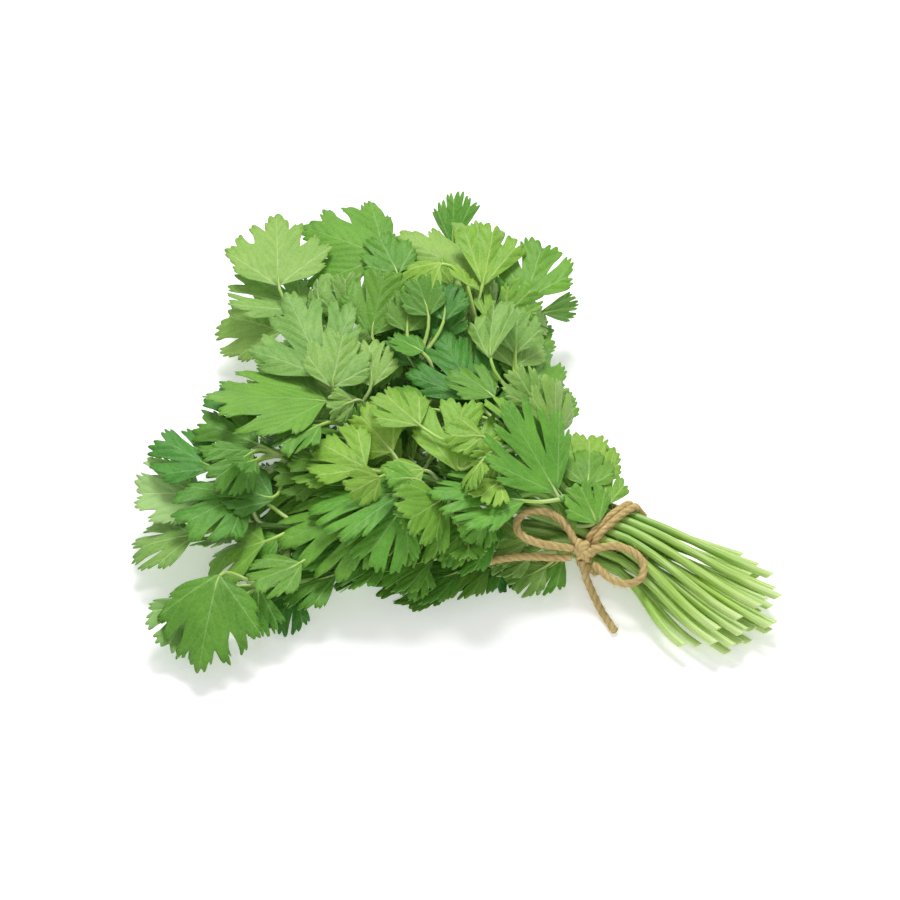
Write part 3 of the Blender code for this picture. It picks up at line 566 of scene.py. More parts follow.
# The sprigs that show on top and round the rim. Each is a colour and its leaflets, and a leaflet is
# (bearing, reach, height) of its base, heading, pitch and roll in degrees, length and kind.
SPRIGS = [
    ("light", [(12, 171, 37, 60, 6, 0, 38, "broad"), (12, 158, 31, 14, 0, 10, 36, "cut"),
               (8, 160, 29, 4, -10, -20, 34, "broad"), (14, 150, 24, 40, -6, 0, 27, "cut")]),
    ("light", [(0, 126, 40, 40, 8, -12, 43, "cut"), (-2, 121, 39, 74, 10, 10, 28, "broad"),
               (3, 136, 28, 5, 0, 0, 27, "cut")]),
    ("mid", [(27, 153, 37, 3, 0, -8, 42, "broad"), (17, 146, 28, 24, -8, 5, 28, "cut"),
             (27, 146, 31, 55, -4, 5, 27, "cut")]),
    ("dark", [(13, 124, 42, 75, 25, 0, 31, "cut"), (18, 116, 37, 70, 5, 15, 24, "broad"),
              (15, 112, 36, -58, -5, 10, 25, "broad")]),
    ("light", [(35, 119, 39, 14, -8, -10, 43, "broad"), (30, 132, 33, 50, 10, 5, 28, "cut")]),
    ("mid", [(36.5, 152, 28, 62, 28, -35, 25, "narrow"), (42, 140, 22, 20, -10, 0, 30, "cut"),
             (35, 142, 20, 5, -8, 0, 27, "cut")]),
    ("yellow", [(37, 116, 42, 72, 14, 15, 32, "narrow"), (29, 128, 31, -60, -20, 12, 24, "cut")]),
    ("mid", [(45, 108, 37, 76, 6, 5, 33, "cut"), (49, 114, 20, 140, -4, 85, 18, "narrow"),
             (41, 88, 24, 62, 5, 20, 27, "cut"), (43, 100, 22, 55, -5, 0, 27, "cut")]),
    ("light", [(32, 74, 40, 62, 8, 20, 31, "broad"), (25, 77, 41, 64, 10, -35, 30, "narrow"),
               (29, 66, 34, 92, -10, 20, 25, "cut")]),
    ("mid", [(34, 64, 31, 68, 0, 30, 32, "broad"), (40, 62, 18, 105, -15, 25, 18, "cut"),
             (34, 54, 20, 66, -8, 10, 20, "cut"), (26, 52, 32, 66, 0, 10, 25, "cut")]),
    ("dark", [(15, 70, 40, 37, 8, 0, 38, "cut"), (6, 82, 41, -13, 0, 0, 27, "cut"),
              (27, 64, 43, 12, 6, 10, 23, "cut"), (8, 64, 36, 70, 6, 0, 27, "cut")]),
    ("yellow", [(18, 16, 27, 62, 14, 10, 27, "broad"), (42, 25, 19, 66, 4, 20, 23, "cut")]),
    ("yellow", [(-20, 60, 43, 67, 18, 4, 35, "cut"), (-9, 78, 37, 21, 2, 8, 26, "cut"),
                (-12, 52, 38, 44, 9, 4, 27, "cut")]),
    ("yellow", [(-16, 86, 43, 24, 6, -30, 28, "cut"), (-22, 95, 41, 12, -4, 0, 29, "cut"),
                (-18, 104, 34, -16, 0, 0, 25, "cut")]),
    ("mid", [(-24, 80, 42, -30, -4, 10, 38, "feather"), (-26, 84, 39, -47, -6, 0, 48, "feather"),
             (-31, 80, 37, -84, -22, -10, 31, "feather")]),
    ("mid", [(-16, 21, 31, 22, 8, 10, 42, "feather"), (-24, 33, 31, -30, -2, 8, 37, "feather")]),
    ("mid", [(-30, 62, 35, -58, -25, 15, 30, "cut"), (-38, 44, 27, -45, -20, 0, 27, "cut"),
             (-33, 52, 24, -62, -20, 0, 24, "cut")]),
    ("dark", [(-37, 62, 18, -34, -10, -25, 36, "broad"), (-38, 60, 10, -46, -4, 10, 26, "cut"),
              (-37, 48, 12, -52, -8, 10, 23, "cut")]),
    ("light", [(-40, 32, 18, -22, -8, -10, 24, "cut"), (-47, 31, 12, -38, -4, 0, 20, "cut"),
               (-54, 27, 9, -56, -4, 0, 18, "cut")]),
    ("light", [(-22, 160, 19, -28, 0, 165, 31, "broad"), (-29, 161, 19, -30, -8, 10, 29, "cut")]),
    ("dark", [(-20, 156, 28, 6, 8, 0, 30, "cut"), (-16, 140, 33, 0, 0, -10, 30, "cut"),
              (-11, 146, 29, 16, 8, 0, 25, "cut")]),
    ("mid", [(-23, 142, 28, -64, -15, 0, 34, "cut"), (-33, 134, 24, -16, -12, 0, 31, "cut"),
             (-30, 128, 20, -48, -12, 0, 27, "cut")]),
    ("mid", [(-4, 121, 37, -27, -4, 5, 48, "broad"), (-6, 138, 27, 30, -6, 0, 30, "cut")]),
    ("mid", [(-16, 122, 33, -86, -15, 0, 40, "cut"), (-35, 124, 18, -64, -28, 0, 27, "broad"),
             (-22, 114, 30, -40, -10, 0, 27, "cut")]),
    ("mid", [(-39, 154, 26, -106, -14, 0, 37, "broad"), (-38.5, 164, 10, -92, -6, 150, 29, "cut"),
             (-40, 139, 19, -118, -22, 30, 22, "narrow")]),
    ("dark", [(-27, 104, 14, -30, -14, 0, 27, "cut"), (-30, 92, 12, -42, -8, 20, 26, "cut"),
              (-30, 84, 18, -46, -14, 0, 25, "cut")]),
]

# The sprigs underneath: bearing, reach of the fork and its height. They take the dark green, partly a
# darker leaf of their own and partly painted shade for lying under the rest.
LOW_SPRIGS = [(-15, 116, 7), (4, 104, 9), (30, 92, 8)]
LOW_TURNS = (-70, 0, 70)
LOW_LENGTH = 33

# Small leaflets on the way up a stem: how far along they grow, how far aside and up, and their length.
SIDE_SHARES = (0.62, 0.82)
SIDE_OUT = 13
SIDE_UP = 5
SIDE_LENGTH = 24
SIDE_MIN_REACH = 118
SIDE_WITHIN = 35
SIDE_TRIES = 200


def half_span(leaf):
    return math.radians(KINDS[leaf["kind"]]["span"])


# The share of its third that a lobe fills, how its teeth vary in length and angle, how much shorter its
# outer teeth are, and how its slits vary.
LOBE_FILL = 0.84
TOOTH_VARIES = (0.94, 1.03)
TOOTH_SWAY = 0.02
OUTER_TOOTH_LOSS = 0.07
SLIT_VARIES = (0.9, 1.1)


def outline(leaf):
    """A leaflet's edge as (angle in radians, radius): three toothed lobes between its base corners."""
    kind, span = KINDS[leaf["kind"]], half_span(leaf)
    draw = random.Random(leaf["seed"])
    corners = 5 if leaf["length"] >= LARGE_LEAFLET else 3
    edge = [(-span, kind["corner"])]
    for lobe in (-1, 0, 1):
        for k in range(corners):
            side = 2 * k / (corners - 1) - 1
            angle = span * (2 * lobe + side * LOBE_FILL) / 3
            radius = (math.cos(angle) ** ROUNDING * draw.uniform(*TOOTH_VARIES)
                      * (1.0 - OUTER_TOOTH_LOSS * abs(side)))
            if k % 2:
                radius *= kind["notch"]
            edge.append((angle + draw.uniform(-TOOTH_SWAY, TOOTH_SWAY), radius))
        if lobe < 1:
            edge.append((span * (2 * lobe + 1) / 3, kind["slit"] * draw.uniform(*SLIT_VARIES)))
    edge.append((span, kind["corner"]))
    return [(angle, radius * leaf["length"]) for angle, radius in edge]


def blade_point(leaf, angle, radius):
    """The middle of the blade at an angle and radius from its base, in the bunch's frame."""
    length = leaf["length"]
    x, y, t = radius * math.cos(angle), radius * math.sin(angle), radius / length
    span = half_span(leaf)
    pleat = math.cos(math.pi * 3 * angle / span) * leaf["pleat"]
    z = length * (leaf["cup"] * (y / length) ** 2 - leaf["droop"] * t * t + pleat * t * t)
    point = leaf["base"] + leaf["turn"] @ Vector((x, y, z))
    point.z = max(point.z, FLOOR)
    return point


def blade_normal(leaf, angle, radius):
    """The blade's upper side at a point, from points close by."""
    radius = max(radius, 0.05 * leaf["length"])
    out = blade_point(leaf, angle, radius * 1.02) - blade_point(leaf, angle, radius * 0.98)
    round_it = blade_point(leaf, angle + 0.02, radius) - blade_point(leaf, angle - 0.02, radius)
    return out.cross(round_it).normalized()


def blade(leaf, thickness=BLADE_THICKNESS, extra=0.0):
    """A toothed blade of even thickness, with both faces split into triangles alike round a hub."""
    edge = outline(leaf)
    inner = []
    for k in range(0, len(edge), 2) if leaf["length"] >= SMALL_LEAFLET else ():
        near = [edge[j][1] for j in (k - 1, k, k + 1) if 0 <= j < len(edge)]
        inner.append((edge[k][0], 0.62 * min(near)))
    hub = (HUB_ANGLE, HUB_SHARE * leaf["length"])
    spots = [(0.0, 0.0), hub] + inner + [(angle, radius + extra) for angle, radius in edge]
    points = []
    for side in (1, -1):
        for angle, radius in spots:
            normal = blade_normal(leaf, angle, radius)
            points.append(blade_point(leaf, angle, radius) + normal * (side * thickness / 2))
    first, top = 2 + len(inner), []
    rim = list(range(first, first + len(edge)))
    ring = list(range(2, 2 + len(inner))) or rim
    for a, b in zip([0] + ring, ring + [0]):
        top.append((1, a, b))
    for k in range(len(inner) - 1):
        a, b, out = 2 + k, 3 + k, first + 2 * k
        top += [(a, out, out + 1), (a, out + 1, b), (b, out + 1, out + 2)]
    below = len(spots)
    faces = top + [(c + below, b + below, a + below) for a, b, c in top]
    border = [0] + rim
    if inner:
        border = [0, ring[0]] + rim + [ring[-1]]
    for a, b in zip(border, border[1:] + border[:1]):
        faces += [(b, a, a + below), (b, a + below, b + below)]
    return points, faces


def tree(shape):
    return BVHTree.FromPolygons(*shape)


def leaf_turn(heading, pitch, roll):
    """A matrix whose columns are the blade's forward, left and up directions."""
    ahead = along(heading, pitch)
    left = Vector((0, 0, 1)).cross(ahead).normalized()
    turn = Matrix((ahead, left, ahead.cross(left))).transposed()
    return turn @ Matrix.Rotation(math.radians(roll), 3, "X")


def make_leaf(row, number, share=1.0):
    """A leaflet from its row, which grows from its stem at a share of the way to the fork."""
    bearing, reach, height, heading, pitch, roll, length, kind = row
    draw = random.Random(SEED * 1000 + number)
    return {
        "at": (bearing, reach, height), "aim": (heading, pitch, roll), "length": length, "kind": kind,
        "share": share, "seed": SEED * 5000 + number, "cup": draw.uniform(-0.30, 0.10),
        "droop": draw.uniform(0.02, 0.22), "pleat": draw.uniform(0.02, 0.05),
    }


def aim_leaf(leaf, lift=0.0, swing=0.0, pitch=0.0, roll=0.0):
    """Puts the leaflet at its place, lifted and swung in millimetres, and turned by two angles."""
    bearing, reach, height = leaf["at"]
    leaf["base"] = place(bearing + math.degrees(swing / reach), reach, max(height + lift, 3.0))
    leaf["turn"] = leaf_turn(leaf["aim"][0], leaf["aim"][1] + pitch, leaf["aim"][2] + roll)

# %% Sprigs
def make_sprigs():
    """All sprigs, each with its leaflets, its fork and its place in the tie."""
    sprigs, number = [], 0
    rows = [(colour, leaves) for colour, leaves in SPRIGS]
    draw = random.Random(SEED)
    for bearing, reach, height in LOW_SPRIGS:
        leaves = []
        for k, turn in enumerate(LOW_TURNS):
            out = reach + (14 if turn == 0 else 4)
            leaves.append((bearing + turn * 0.06, out, height, bearing + turn + draw.uniform(-15, 15),
                           draw.uniform(-8, 8), draw.uniform(-8, 8), LOW_LENGTH, "cut"))
        # The sprigs underneath are dark green: partly their own colour, partly painted shade for lying low
        # under the others.
        rows.append(("dark", leaves))
    for colour, leaves in rows:
        made = []
        for row in leaves:
            number += 1
            made.append(make_leaf(row, number))
        bases = [place(*leaf["at"]) for leaf in made]
        middle = sum(bases, Vector()) / len(bases)
        reach = max(math.hypot(middle.x, middle.y), 1.0)
        back = min(14.0, reach * 0.25)
        fork = middle - Vector((middle.x, middle.y, 0)) / reach * back
        fork.z = max(middle.z - 3.0, 4.0)
        sprigs.append({"leaves": made, "fork": fork, "colour": colour,
                       "bearing": math.degrees(math.atan2(fork.y, -fork.x)), "reach": reach - back})
    return sprigs


def share_slots(sprigs):
    """Gives each sprig a slot in the tie.

    A short one takes the free slot nearest to its fork. The others follow sideways in the order of their
    bearings, the higher ones above.
    """
    slots = tie_slots()
    waiting = []
    for sprig in sorted(sprigs, key=lambda s: s["reach"]):
        if sprig["reach"] < SHORT_REACH:
            fork = sprig["fork"]
            sprig["slot"] = min(slots, key=lambda s: math.hypot(s[0] - fork.y, s[1] - fork.z))
            slots.remove(sprig["slot"])
        else:
            waiting.append(sprig)
    waiting.sort(key=lambda s: s["bearing"])
    columns = {}
    for y, z in slots:
        columns.setdefault(round(y, 3), []).append((y, z))
    for y in sorted(columns):
        group = [waiting.pop(0) for _ in columns[y]]
        group.sort(key=lambda s: s["fork"].z - 0.12 * s["reach"])
        for sprig, slot in zip(group, sorted(columns[y], key=lambda s: s[1])):
            sprig["slot"] = slot


def stem_path(sprig, lift=0.0, swing=0.0, bow=(0.0, 0.0), fine=1):
    """The stem's middle line, from its cut end through the tie to its fork, bowed sideways and up."""
    y, z = sprig["slot"]
    fork = sprig["fork"] + Vector((0, 0, lift))
    fork = Matrix.Rotation(math.radians(-swing), 3, "Z") @ fork
    fork.z = max(fork.z, 2.2)
    draw = sprig["draw"]
    lowest = tie_slots()[0][1]
    cut = Vector((CUT_REACH + draw[0] - CUT_ROUNDING * (y * CUT_SPREAD) ** 2,
                  y * CUT_SPREAD - CUT_ASIDE + draw[1], STEM_RADIUS + 0.25 + (z - lowest) * CUT_SETTLE))
    near, far = Vector((STRAIGHT_HALF, y, z)), Vector((-STRAIGHT_HALF, y, z))
    pull = (cut - near).length * 0.4
    splay = Vector((0, (cut.y - y) * 0.3, 0))
    first = bezier([cut, cut - Vector((1, (cut.y - y) / 70, 0)) * pull,
                    near + Vector((pull, 0, 0)) + splay, near], (STEM_RINGS_TO_CUT - 1) * fine + 1)
    span = (fork - far).length
    arrive = Vector((fork.x, fork.y, 0)).normalized() + Vector((0, 0, 0.12))
    bent = Vector((0, *bow))
    leave = Vector((-min(span, LONG_SPAN) * 0.34, 0, 0))
    second = bezier([far, far + leave + bent * 0.4, fork - arrive * span * 0.34 + bent, fork],
                    (STEM_RINGS_TO_LEAVES - 1) * fine + 1)
    return first + second


def stem_radii(path):
    radii = []
    for point in path:
        out = max(0.0, (-point.x - STRAIGHT_HALF) / 120)
        radii.append(STEM_RADIUS + (STEM_TIP_RADIUS - STEM_RADIUS) * min(out, 1.0))
    return radii


def stem_shape(path, margin=0.0):
    return tube(path, [radius + margin for radius in stem_radii(path)], STEM_SIDES, CUT_SLANT)


def stalk_line(sprig, leaf, k, further=0.0, fine=1):
    """The middle of the stalk from the fork into the leaflet's base, or a little further."""
    path = sprig["path"]
    if leaf["share"] < 1:
        spot = leaf["share"] * (STEM_RINGS_TO_LEAVES - 1)
        step = int(spot)
        a, b = path[step - STEM_RINGS_TO_LEAVES], path[step + 1 - STEM_RINGS_TO_LEAVES]
        ahead = (b - a).normalized()
        start = a.lerp(b, spot - step)
    else:
        ahead = (path[-1] - path[-2]).normalized()
        start = path[-1] - ahead * (3.0 + 1.6 * k)
    forward = leaf["turn"] @ Vector((1, 0, 0))
    end = leaf["base"] + forward * (BLADE_GRIP + further)
    pull = (end - start).length * 0.35
    line = bezier([start, start + ahead * pull, leaf["base"] - forward * pull, end],
                  (STALK_RINGS - 1) * fine + 1)
    for point in line:
        point.z = max(point.z, STALK_RADIUS + 0.2)
    return line


def stalk_shape(sprig, leaf, k, further=0.0, margin=0.0):
    line = stalk_line(sprig, leaf, k, further)
    radii = [STALK_RADIUS + (STALK_TIP_RADIUS - STALK_RADIUS) * i / (len(line) - 1) + margin
             for i in range(len(line))]
    return tube(line, radii, STALK_SIDES)

# %% Finding clear places
def box_of(points):
    return [[pick(point[i] for point in points) for i in range(3)] for pick in (min, max)]


def obstacle(shape, owner):
    """A shape that others keep clear of: its box, its tree and the name of what it belongs to."""
    return (*box_of(shape[0]), tree(shape), owner)


def is_clear(shape, obstacles, own=None):
    """Whether a shape touches none of the obstacles, apart from its own."""
    low, high = box_of(shape[0])
    mine = None
    for other_low, other_high, other, owner in obstacles:
        if owner != own and all(low[i] <= other_high[i] and other_low[i] <= high[i] for i in range(3)):
            mine = mine or tree(shape)
            if mine.overlap(other):
                return False
    return True


def moves():
    """Small moves of a leaflet as (lift, swing, pitch, roll), the least first."""
    found = []
    for lift in (0, 1.5, -1.5, 3, -3, 5, -5, 7, -7, 10, -10, 13, -13, 16, 20):
        for swing in (0, 5, -5, 10, -10):
            for pitch in (0, 10, -10, 20, -20, 32, -32):
                for roll in (0, 12, -12, 25, -25):
                    cost = abs(lift) / 3 + abs(swing) / 4 + abs(pitch) / 12 + abs(roll) / 12
                    found.append((cost, lift, swing, pitch, roll))
    return [move[1:] for move in sorted(found)]


def side_leaves(sprig, draw):
    """Small leaflets that grow from a long stem before its fork, on alternate sides."""
    if sprig["reach"] < SIDE_MIN_REACH or abs(sprig["bearing"]) > SIDE_WITHIN:
        return []
    leaves, side = [], 1 if sprig["bearing"] < 0 else -1
    for share in SIDE_SHARES:
        spot = sprig["path"][round(share * (STEM_RINGS_TO_LEAVES - 1)) - STEM_RINGS_TO_LEAVES]
        reach = math.hypot(spot.x, spot.y)
        bearing = math.degrees(math.atan2(spot.y, -spot.x))
        aside = math.degrees(side * SIDE_OUT * 0.6 / reach)
        row = (bearing + aside, reach + SIDE_OUT * 0.5, spot.z + SIDE_UP * draw.uniform(-1, 1.4),
               bearing + side * draw.uniform(15, 50), draw.uniform(-12, 12), draw.uniform(-12, 12),
               SIDE_LENGTH * draw.uniform(0.9, 1.1), "cut")
        leaves.append(make_leaf(row, draw.randrange(1000, 9999), share))
        side = -side
    return leaves


def stem_bends():
    """Small changes of a stem as (lift, swing, bow sideways, bow up), the least first."""
    found = []
    for lift in (0, 2, -2, 5, -5, 9):
        for swing in (0, 1.5, -1.5, 3, -3, 5, -5):
            for side in (0, 4, -4, 8, -8):
                for up in (0, 4, -4, 8, -8):
                    cost = abs(lift) / 2 + abs(swing) + abs(side) / 3 + abs(up) / 3
                    found.append((cost, lift, swing, side, up))
    return [bend[1:] for bend in sorted(found)]


def grow(sprig, leaf, k, shape, taken):
    """Puts a leaflet on its stem, and has the others keep clear of its blade and stalk from now on."""
    taken.append(obstacle(shape, "blade"))
    taken.append(obstacle(stalk_shape(sprig, leaf, k), sprig["owner"]))
    sprig["leaves"].append((k, leaf))


def lay_out(twine_shapes):
    """Lays the stems and then the leaflets, each moved a little until it is clear of the others."""
    sprigs = make_sprigs()
    share_slots(sprigs)
    draw = random.Random(SEED + 1)
    taken = [obstacle(shape, "twine") for shape in twine_shapes]
    bends = stem_bends()
    steps = moves()
    for number, sprig in enumerate(sprigs):
        sprig["owner"] = f"stem {number}"
        sprig["draw"] = (draw.uniform(-7, 3), draw.uniform(-CUT_JITTER, CUT_JITTER))
    for sprig in sorted(sprigs, key=lambda s: s["slot"][1]):
        for lift, swing, side, up in bends:
            sprig["path"] = stem_path(sprig, lift, swing, (side, up))
            if is_clear(stem_shape(sprig["path"], GAP * 0.8), taken):
                break
        sprig["bend"] = (lift, swing, (side, up))
        taken.append(obstacle(stem_shape(sprig["path"]), sprig["owner"]))
    for sprig in sprigs:
        sprig["leaves"] += side_leaves(sprig, draw)
    for sprig in sprigs:
        leaves, sprig["leaves"] = sprig["leaves"], []
        for k, leaf in enumerate(leaves):
            for step in steps[:SIDE_TRIES] if leaf["share"] < 1 else steps:
                aim_leaf(leaf, *step)
                if (is_clear(blade(leaf, BLADE_THICKNESS + 2 * GAP, GAP), taken, sprig["owner"])
                        and is_clear(stalk_shape(sprig, leaf, k, 0, GAP), taken, sprig["owner"])):
                    grow(sprig, leaf, k, blade(leaf), taken)
                    break
    return [sprig for sprig in sprigs if sprig["leaves"]], taken

twine_shapes = [wrap_turn(0.0), wrap_turn(WRAP_TURN_GAP)]
KNOT_RADII = (1.7, 2.1, 2.3, 2.3, 2.1, 1.7)
KNOT_SIDES = 7
twine_shapes += [tube(line, list(KNOT_RADII), KNOT_SIDES) for line in knot_lines(len(KNOT_RADII))]
for route in TWINE_ROUTES.values():
    line = smooth_route([Vector(point) for point in route], TWINE_RADIUS * 4)
    twine_shapes.append(tube(line, [TWINE_RADIUS * 1.03] * len(line), 12))
sprigs, taken = lay_out(twine_shapes)
print("sprigs:", len(sprigs), "leaflets:", sum(len(sprig["leaves"]) for sprig in sprigs))

# %% [markdown]
# ## Leaf and stem finishes
# A coriander leaflet is thin and soft. Pale ribs run out from its base and fork towards the teeth, the
# green between them is darker and slightly quilted, and the underside is paler and duller. Each point of
# a leaflet carries its place among the ribs (millimetres from the lobe's midrib and from the base), so
# the ribs have real sizes. Light comes through the blade, which a little scattering under the surface
# gives.

# %% Leaf material
RIB_SPACING = 6.4
RIB_SLANT = 1.75


def leaf_finish(add, deep, bright, rib, under):
    """Leaf green that varies from deep to bright, with ribs on top and a paler underside."""
    spot = add("TexCoord", {}, "Object")
    aside, out, _ = carried(add, "rib")
    own, below, age = carried(add, "tone")
    patches = add("TexNoise", {"Vector": spot, "Scale": scale_of(13), "Detail": 3.0, "Roughness": 0.6})
    grain = add("TexNoise", {"Vector": spot, "Scale": scale_of(1.6), "Detail": 3.0})
    net = add("TexVoronoi", {"Vector": spot, "Scale": scale_of(1.7)}, feature="DISTANCE_TO_EDGE")

    # The lobe's main rib: a pale line that tapers from half a millimetre to a hair.
    taper = add("MapRange", {"Value": out, "From Min": 4, "From Max": 36, "To Min": 0.62, "To Max": 0.2})
    midrib = add("MapRange", {"Value": aside, "From Max": taper, "To Min": 1, "To Max": 0})
    # Side ribs that fork off it towards the teeth, not quite even, weaker the further they run.
    sway = add("Math", {0: patches, 1: 7.0}, operation="MULTIPLY")
    lean = add("Math", {0: aside, 1: -RIB_SLANT, 2: out}, operation="MULTIPLY_ADD")
    lean = add("Math", {0: lean, 1: sway}, operation="ADD")
    to_side = add("Math", {0: lean, 1: RIB_SPACING / 2}, operation="PINGPONG")
    side_rib = add("MapRange", {"Value": to_side, "From Max": 0.5, "To Min": 1, "To Max": 0})
    weaker = add("MapRange", {"Value": aside, "From Max": 9, "To Min": 0.6, "To Max": 0.2})
    side_rib = add("Math", {0: side_rib, 1: weaker}, operation="MULTIPLY")
    raised = add("Math", {0: midrib, 1: side_rib}, operation="MAXIMUM")

    # The green between the ribs: every leaflet has its depth of green, partly its own at random and partly
    # painted shade that makes it deeper the lower it lies in the bunch; cloudy over a centimetre.
    share = add("Math", {0: patches, 1: 1.25, 2: -0.72}, operation="MULTIPLY_ADD")
    share = add("Math", {0: own, 1: 0.80, 2: share}, operation="MULTIPLY_ADD")
    share = add("Math", {0: grain, 1: 0.35, 2: share}, operation="MULTIPLY_ADD", use_clamp=True)
    green = add("Mix", {0: share, 6: deep, 7: bright}, 2, data_type="RGBA")
    # Older leaflets turn slightly yellow, which sets neighbours apart.
    old = add("Math", {0: age, 1: 0.30}, operation="MULTIPLY")
    green = add("Mix", {0: old, 6: green, 7: linear("#93AE35")}, 2, data_type="RGBA")
    # The net of the finest veins only just shows.
    veins = add("MapRange", {"Value": net, "From Max": 0.14, "To Min": 0.10, "To Max": 0})
    green = add("Mix", {0: veins, 6: green, 7: rib}, 2, data_type="RGBA")
    pale = add("Math", {0: raised, 1: 0.42}, operation="MULTIPLY")
    green = add("Mix", {0: pale, 6: green, 7: rib}, 2, data_type="RGBA")
    # The underside has no wax and more air in it: silvery and flat, with the ribs standing out.
    silver = add("Mix", {0: raised, 6: under, 7: rib}, 2, data_type="RGBA")
    colour = add("Mix", {0: below, 6: green, 7: silver}, 2, data_type="RGBA")

    # A thin wax on top gives a soft broken sheen, duller below.
    rough = add("Math", {0: grain, 1: 0.18, 2: 0.42}, operation="MULTIPLY_ADD")
    rough = add("Math", {0: below, 1: 0.2, 2: rough}, operation="MULTIPLY_ADD")
    # The blade swells a little between its ribs, so light breaks into small soft cushions.
    cushion = add("Math", {0: to_side, 1: 0.30}, operation="MULTIPLY")
    swell = add("Math", {0: net, 1: 0.8, 2: cushion}, operation="MULTIPLY_ADD")
    swell = add("Math", {0: raised, 1: -0.5, 2: swell}, operation="MULTIPLY_ADD")
    bump = add("Bump", {"Height": swell, "Strength": 0.5, "Distance": 0.0005})
    return {"Base Color": colour, "Roughness": rough, "Specular IOR Level": 0.3, "Normal": bump,
            "Subsurface Weight": 0.12, "Subsurface Radius": (0.6, 1.0, 0.3), "Subsurface Scale": 0.001}


# Deep green, bright green, ribs and underside of each kind of leaf.
LEAF_GREENS = {
    "mid": ("leaf, mid green, thin wax", "#2E761E", "#6BAA38", "#A6CF7C", "#86AE62"),
    "light": ("leaf, pale green, young", "#578E3B", "#8FB95C", "#C6DE9C", "#A0C47A"),
    "dark": ("leaf, dark green, full grown", "#1E5C1E", "#509432", "#86B668", "#74A05A"),
    "yellow": ("leaf, yellow green, in full sun", "#4E8E2B", "#84B53E", "#CCE088", "#AECA74"),
}
LEAF_LOOKS = {kind: make_look(name, leaf_finish, *map(linear, greens))
              for kind, (name, *greens) in LEAF_GREENS.items()}

# %% [markdown]
# A fresh stem is juicy and pale green, with fine lengthwise grooves. It is paler towards its cut end and
# deeper green among the leaves. The cut shows whitish flesh.

# %% Stem material
def stem_finish(add):
    around, along, _ = carried(add, "rib")
    own, leafward, _ = carried(add, "tone")
    fine_across = add("Math", {0: around, 1: 1.3}, operation="MULTIPLY")
    long_along = add("Math", {0: along, 1: 0.05}, operation="MULTIPLY")
    streak_spot = add("CombineXYZ", {"X": fine_across, "Y": long_along, "Z": own})
    streaks = add("TexNoise", {"Vector": streak_spot, "Scale": 1.4, "Detail": 3.0})
    spot = add("TexCoord", {}, "Object")
    patches = add("TexNoise", {"Vector": spot, "Scale": scale_of(22), "Detail": 2.0})
    # Fine lengthwise strings under the skin: the stem looks drawn out, pale where it is blanched.
    pale = add("ValToRGB", {"Fac": streaks}, stops=[(0.30, linear("#98C04A")), (0.72, linear("#E2EFB6")),
                                                    (0.50, linear("#BCDA72"))])
    # Among the leaves the same strings are a deeper green.
    deep = add("ValToRGB", {"Fac": streaks}, stops=[(0.30, linear("#4C8A2C")), (0.75, linear("#A2CB70")),
                                                    (0.55, linear("#78AE46"))])
    share = add("Math", {0: patches, 1: 0.8, 2: -0.4}, operation="MULTIPLY_ADD")
    share = add("Math", {0: leafward, 1: share}, operation="ADD", use_clamp=True)
    # Some stems are a sappy yellow green and others nearly white: each has its own.
    sappy = add("MapRange", {"Value": own, "From Min": 0.3, "From Max": 1, "To Max": 0.55})
    pale = add("Mix", {0: sappy, 6: pale, 7: linear("#A3CB42")}, 2, data_type="RGBA")
    colour = add("Mix", {0: share, 6: pale, 7: deep}, 2, data_type="RGBA")
    # The last centimetre and a half before the cut has drained and gone pale.
    drained = add("MapRange", {"Value": along, "From Max": 17, "To Min": 0.32, "To Max": 0})
    colour = add("Mix", {0: drained, 6: colour, 7: linear("#E6F0C6")}, 2, data_type="RGBA")
    # A taut wet skin: a narrow soft highlight along each stem, broken by its strings.
    bump = add("Bump", {"Height": streaks, "Strength": 0.4, "Distance": 0.0003})
    return {"Base Color": colour, "Roughness": 0.36, "Specular IOR Level": 0.45, "Normal": bump,
            "Subsurface Weight": 0.2, "Subsurface Radius": (0.8, 1.0, 0.3), "Subsurface Scale": 0.0015}


def cut_finish(add):
    _, _, hollow = carried(add, "tone")
    spot = add("TexCoord", {}, "Object")
    flesh = add("TexNoise", {"Vector": spot, "Scale": scale_of(0.8), "Detail": 3.0})
    # Torn wet flesh: pale and grainy, greener down in the hollow.
    colour = add("ValToRGB", {"Fac": flesh}, stops=[(0.35, linear("#BBD482")), (0.65, linear("#E6EFC4"))])
    deep = add("Math", {0: hollow, 1: 0.6}, operation="MULTIPLY")
    colour = add("Mix", {0: deep, 6: colour, 7: linear("#A9C470")}, 2, data_type="RGBA")
    return {"Base Color": colour, "Roughness": 0.5}


stem_look = make_look("stem, wet skin over strings", stem_finish)
cut_look = make_look("stem flesh, torn", cut_finish)

# %% [markdown]
# ## Leaflets
# A leaflet is a fan with a wedge-shaped base. Two deep slits part it into three lobes, each lobe is
# notched into two or three smaller ones, and those end in blunt rounded teeth about 3 mm wide. The blade
# cups and droops on the same curve as its solid; the finer edge and a slight ripple come on top.

# %% Fine leaflets
TOOTH_WIDTH = 3.3
TOOTH_DEPTH = 2.7
SHOULDER = 0.74
NOTCH_HALF = 0.20
LOBE_SPREAD = 0.22
LOBE_PINCH = 0.07
SHINGLE = 0.022
EDGE_STEP = 0.52
ROWS = (0.16, 0.36, 0.56, 0.75, 0.90, 1.0)
SMALL_ROWS = (0.20, 0.46, 0.70, 0.89, 1.0)
SMALL_LEAFLET_OF = 29
LEAF_THICKNESS = 0.36


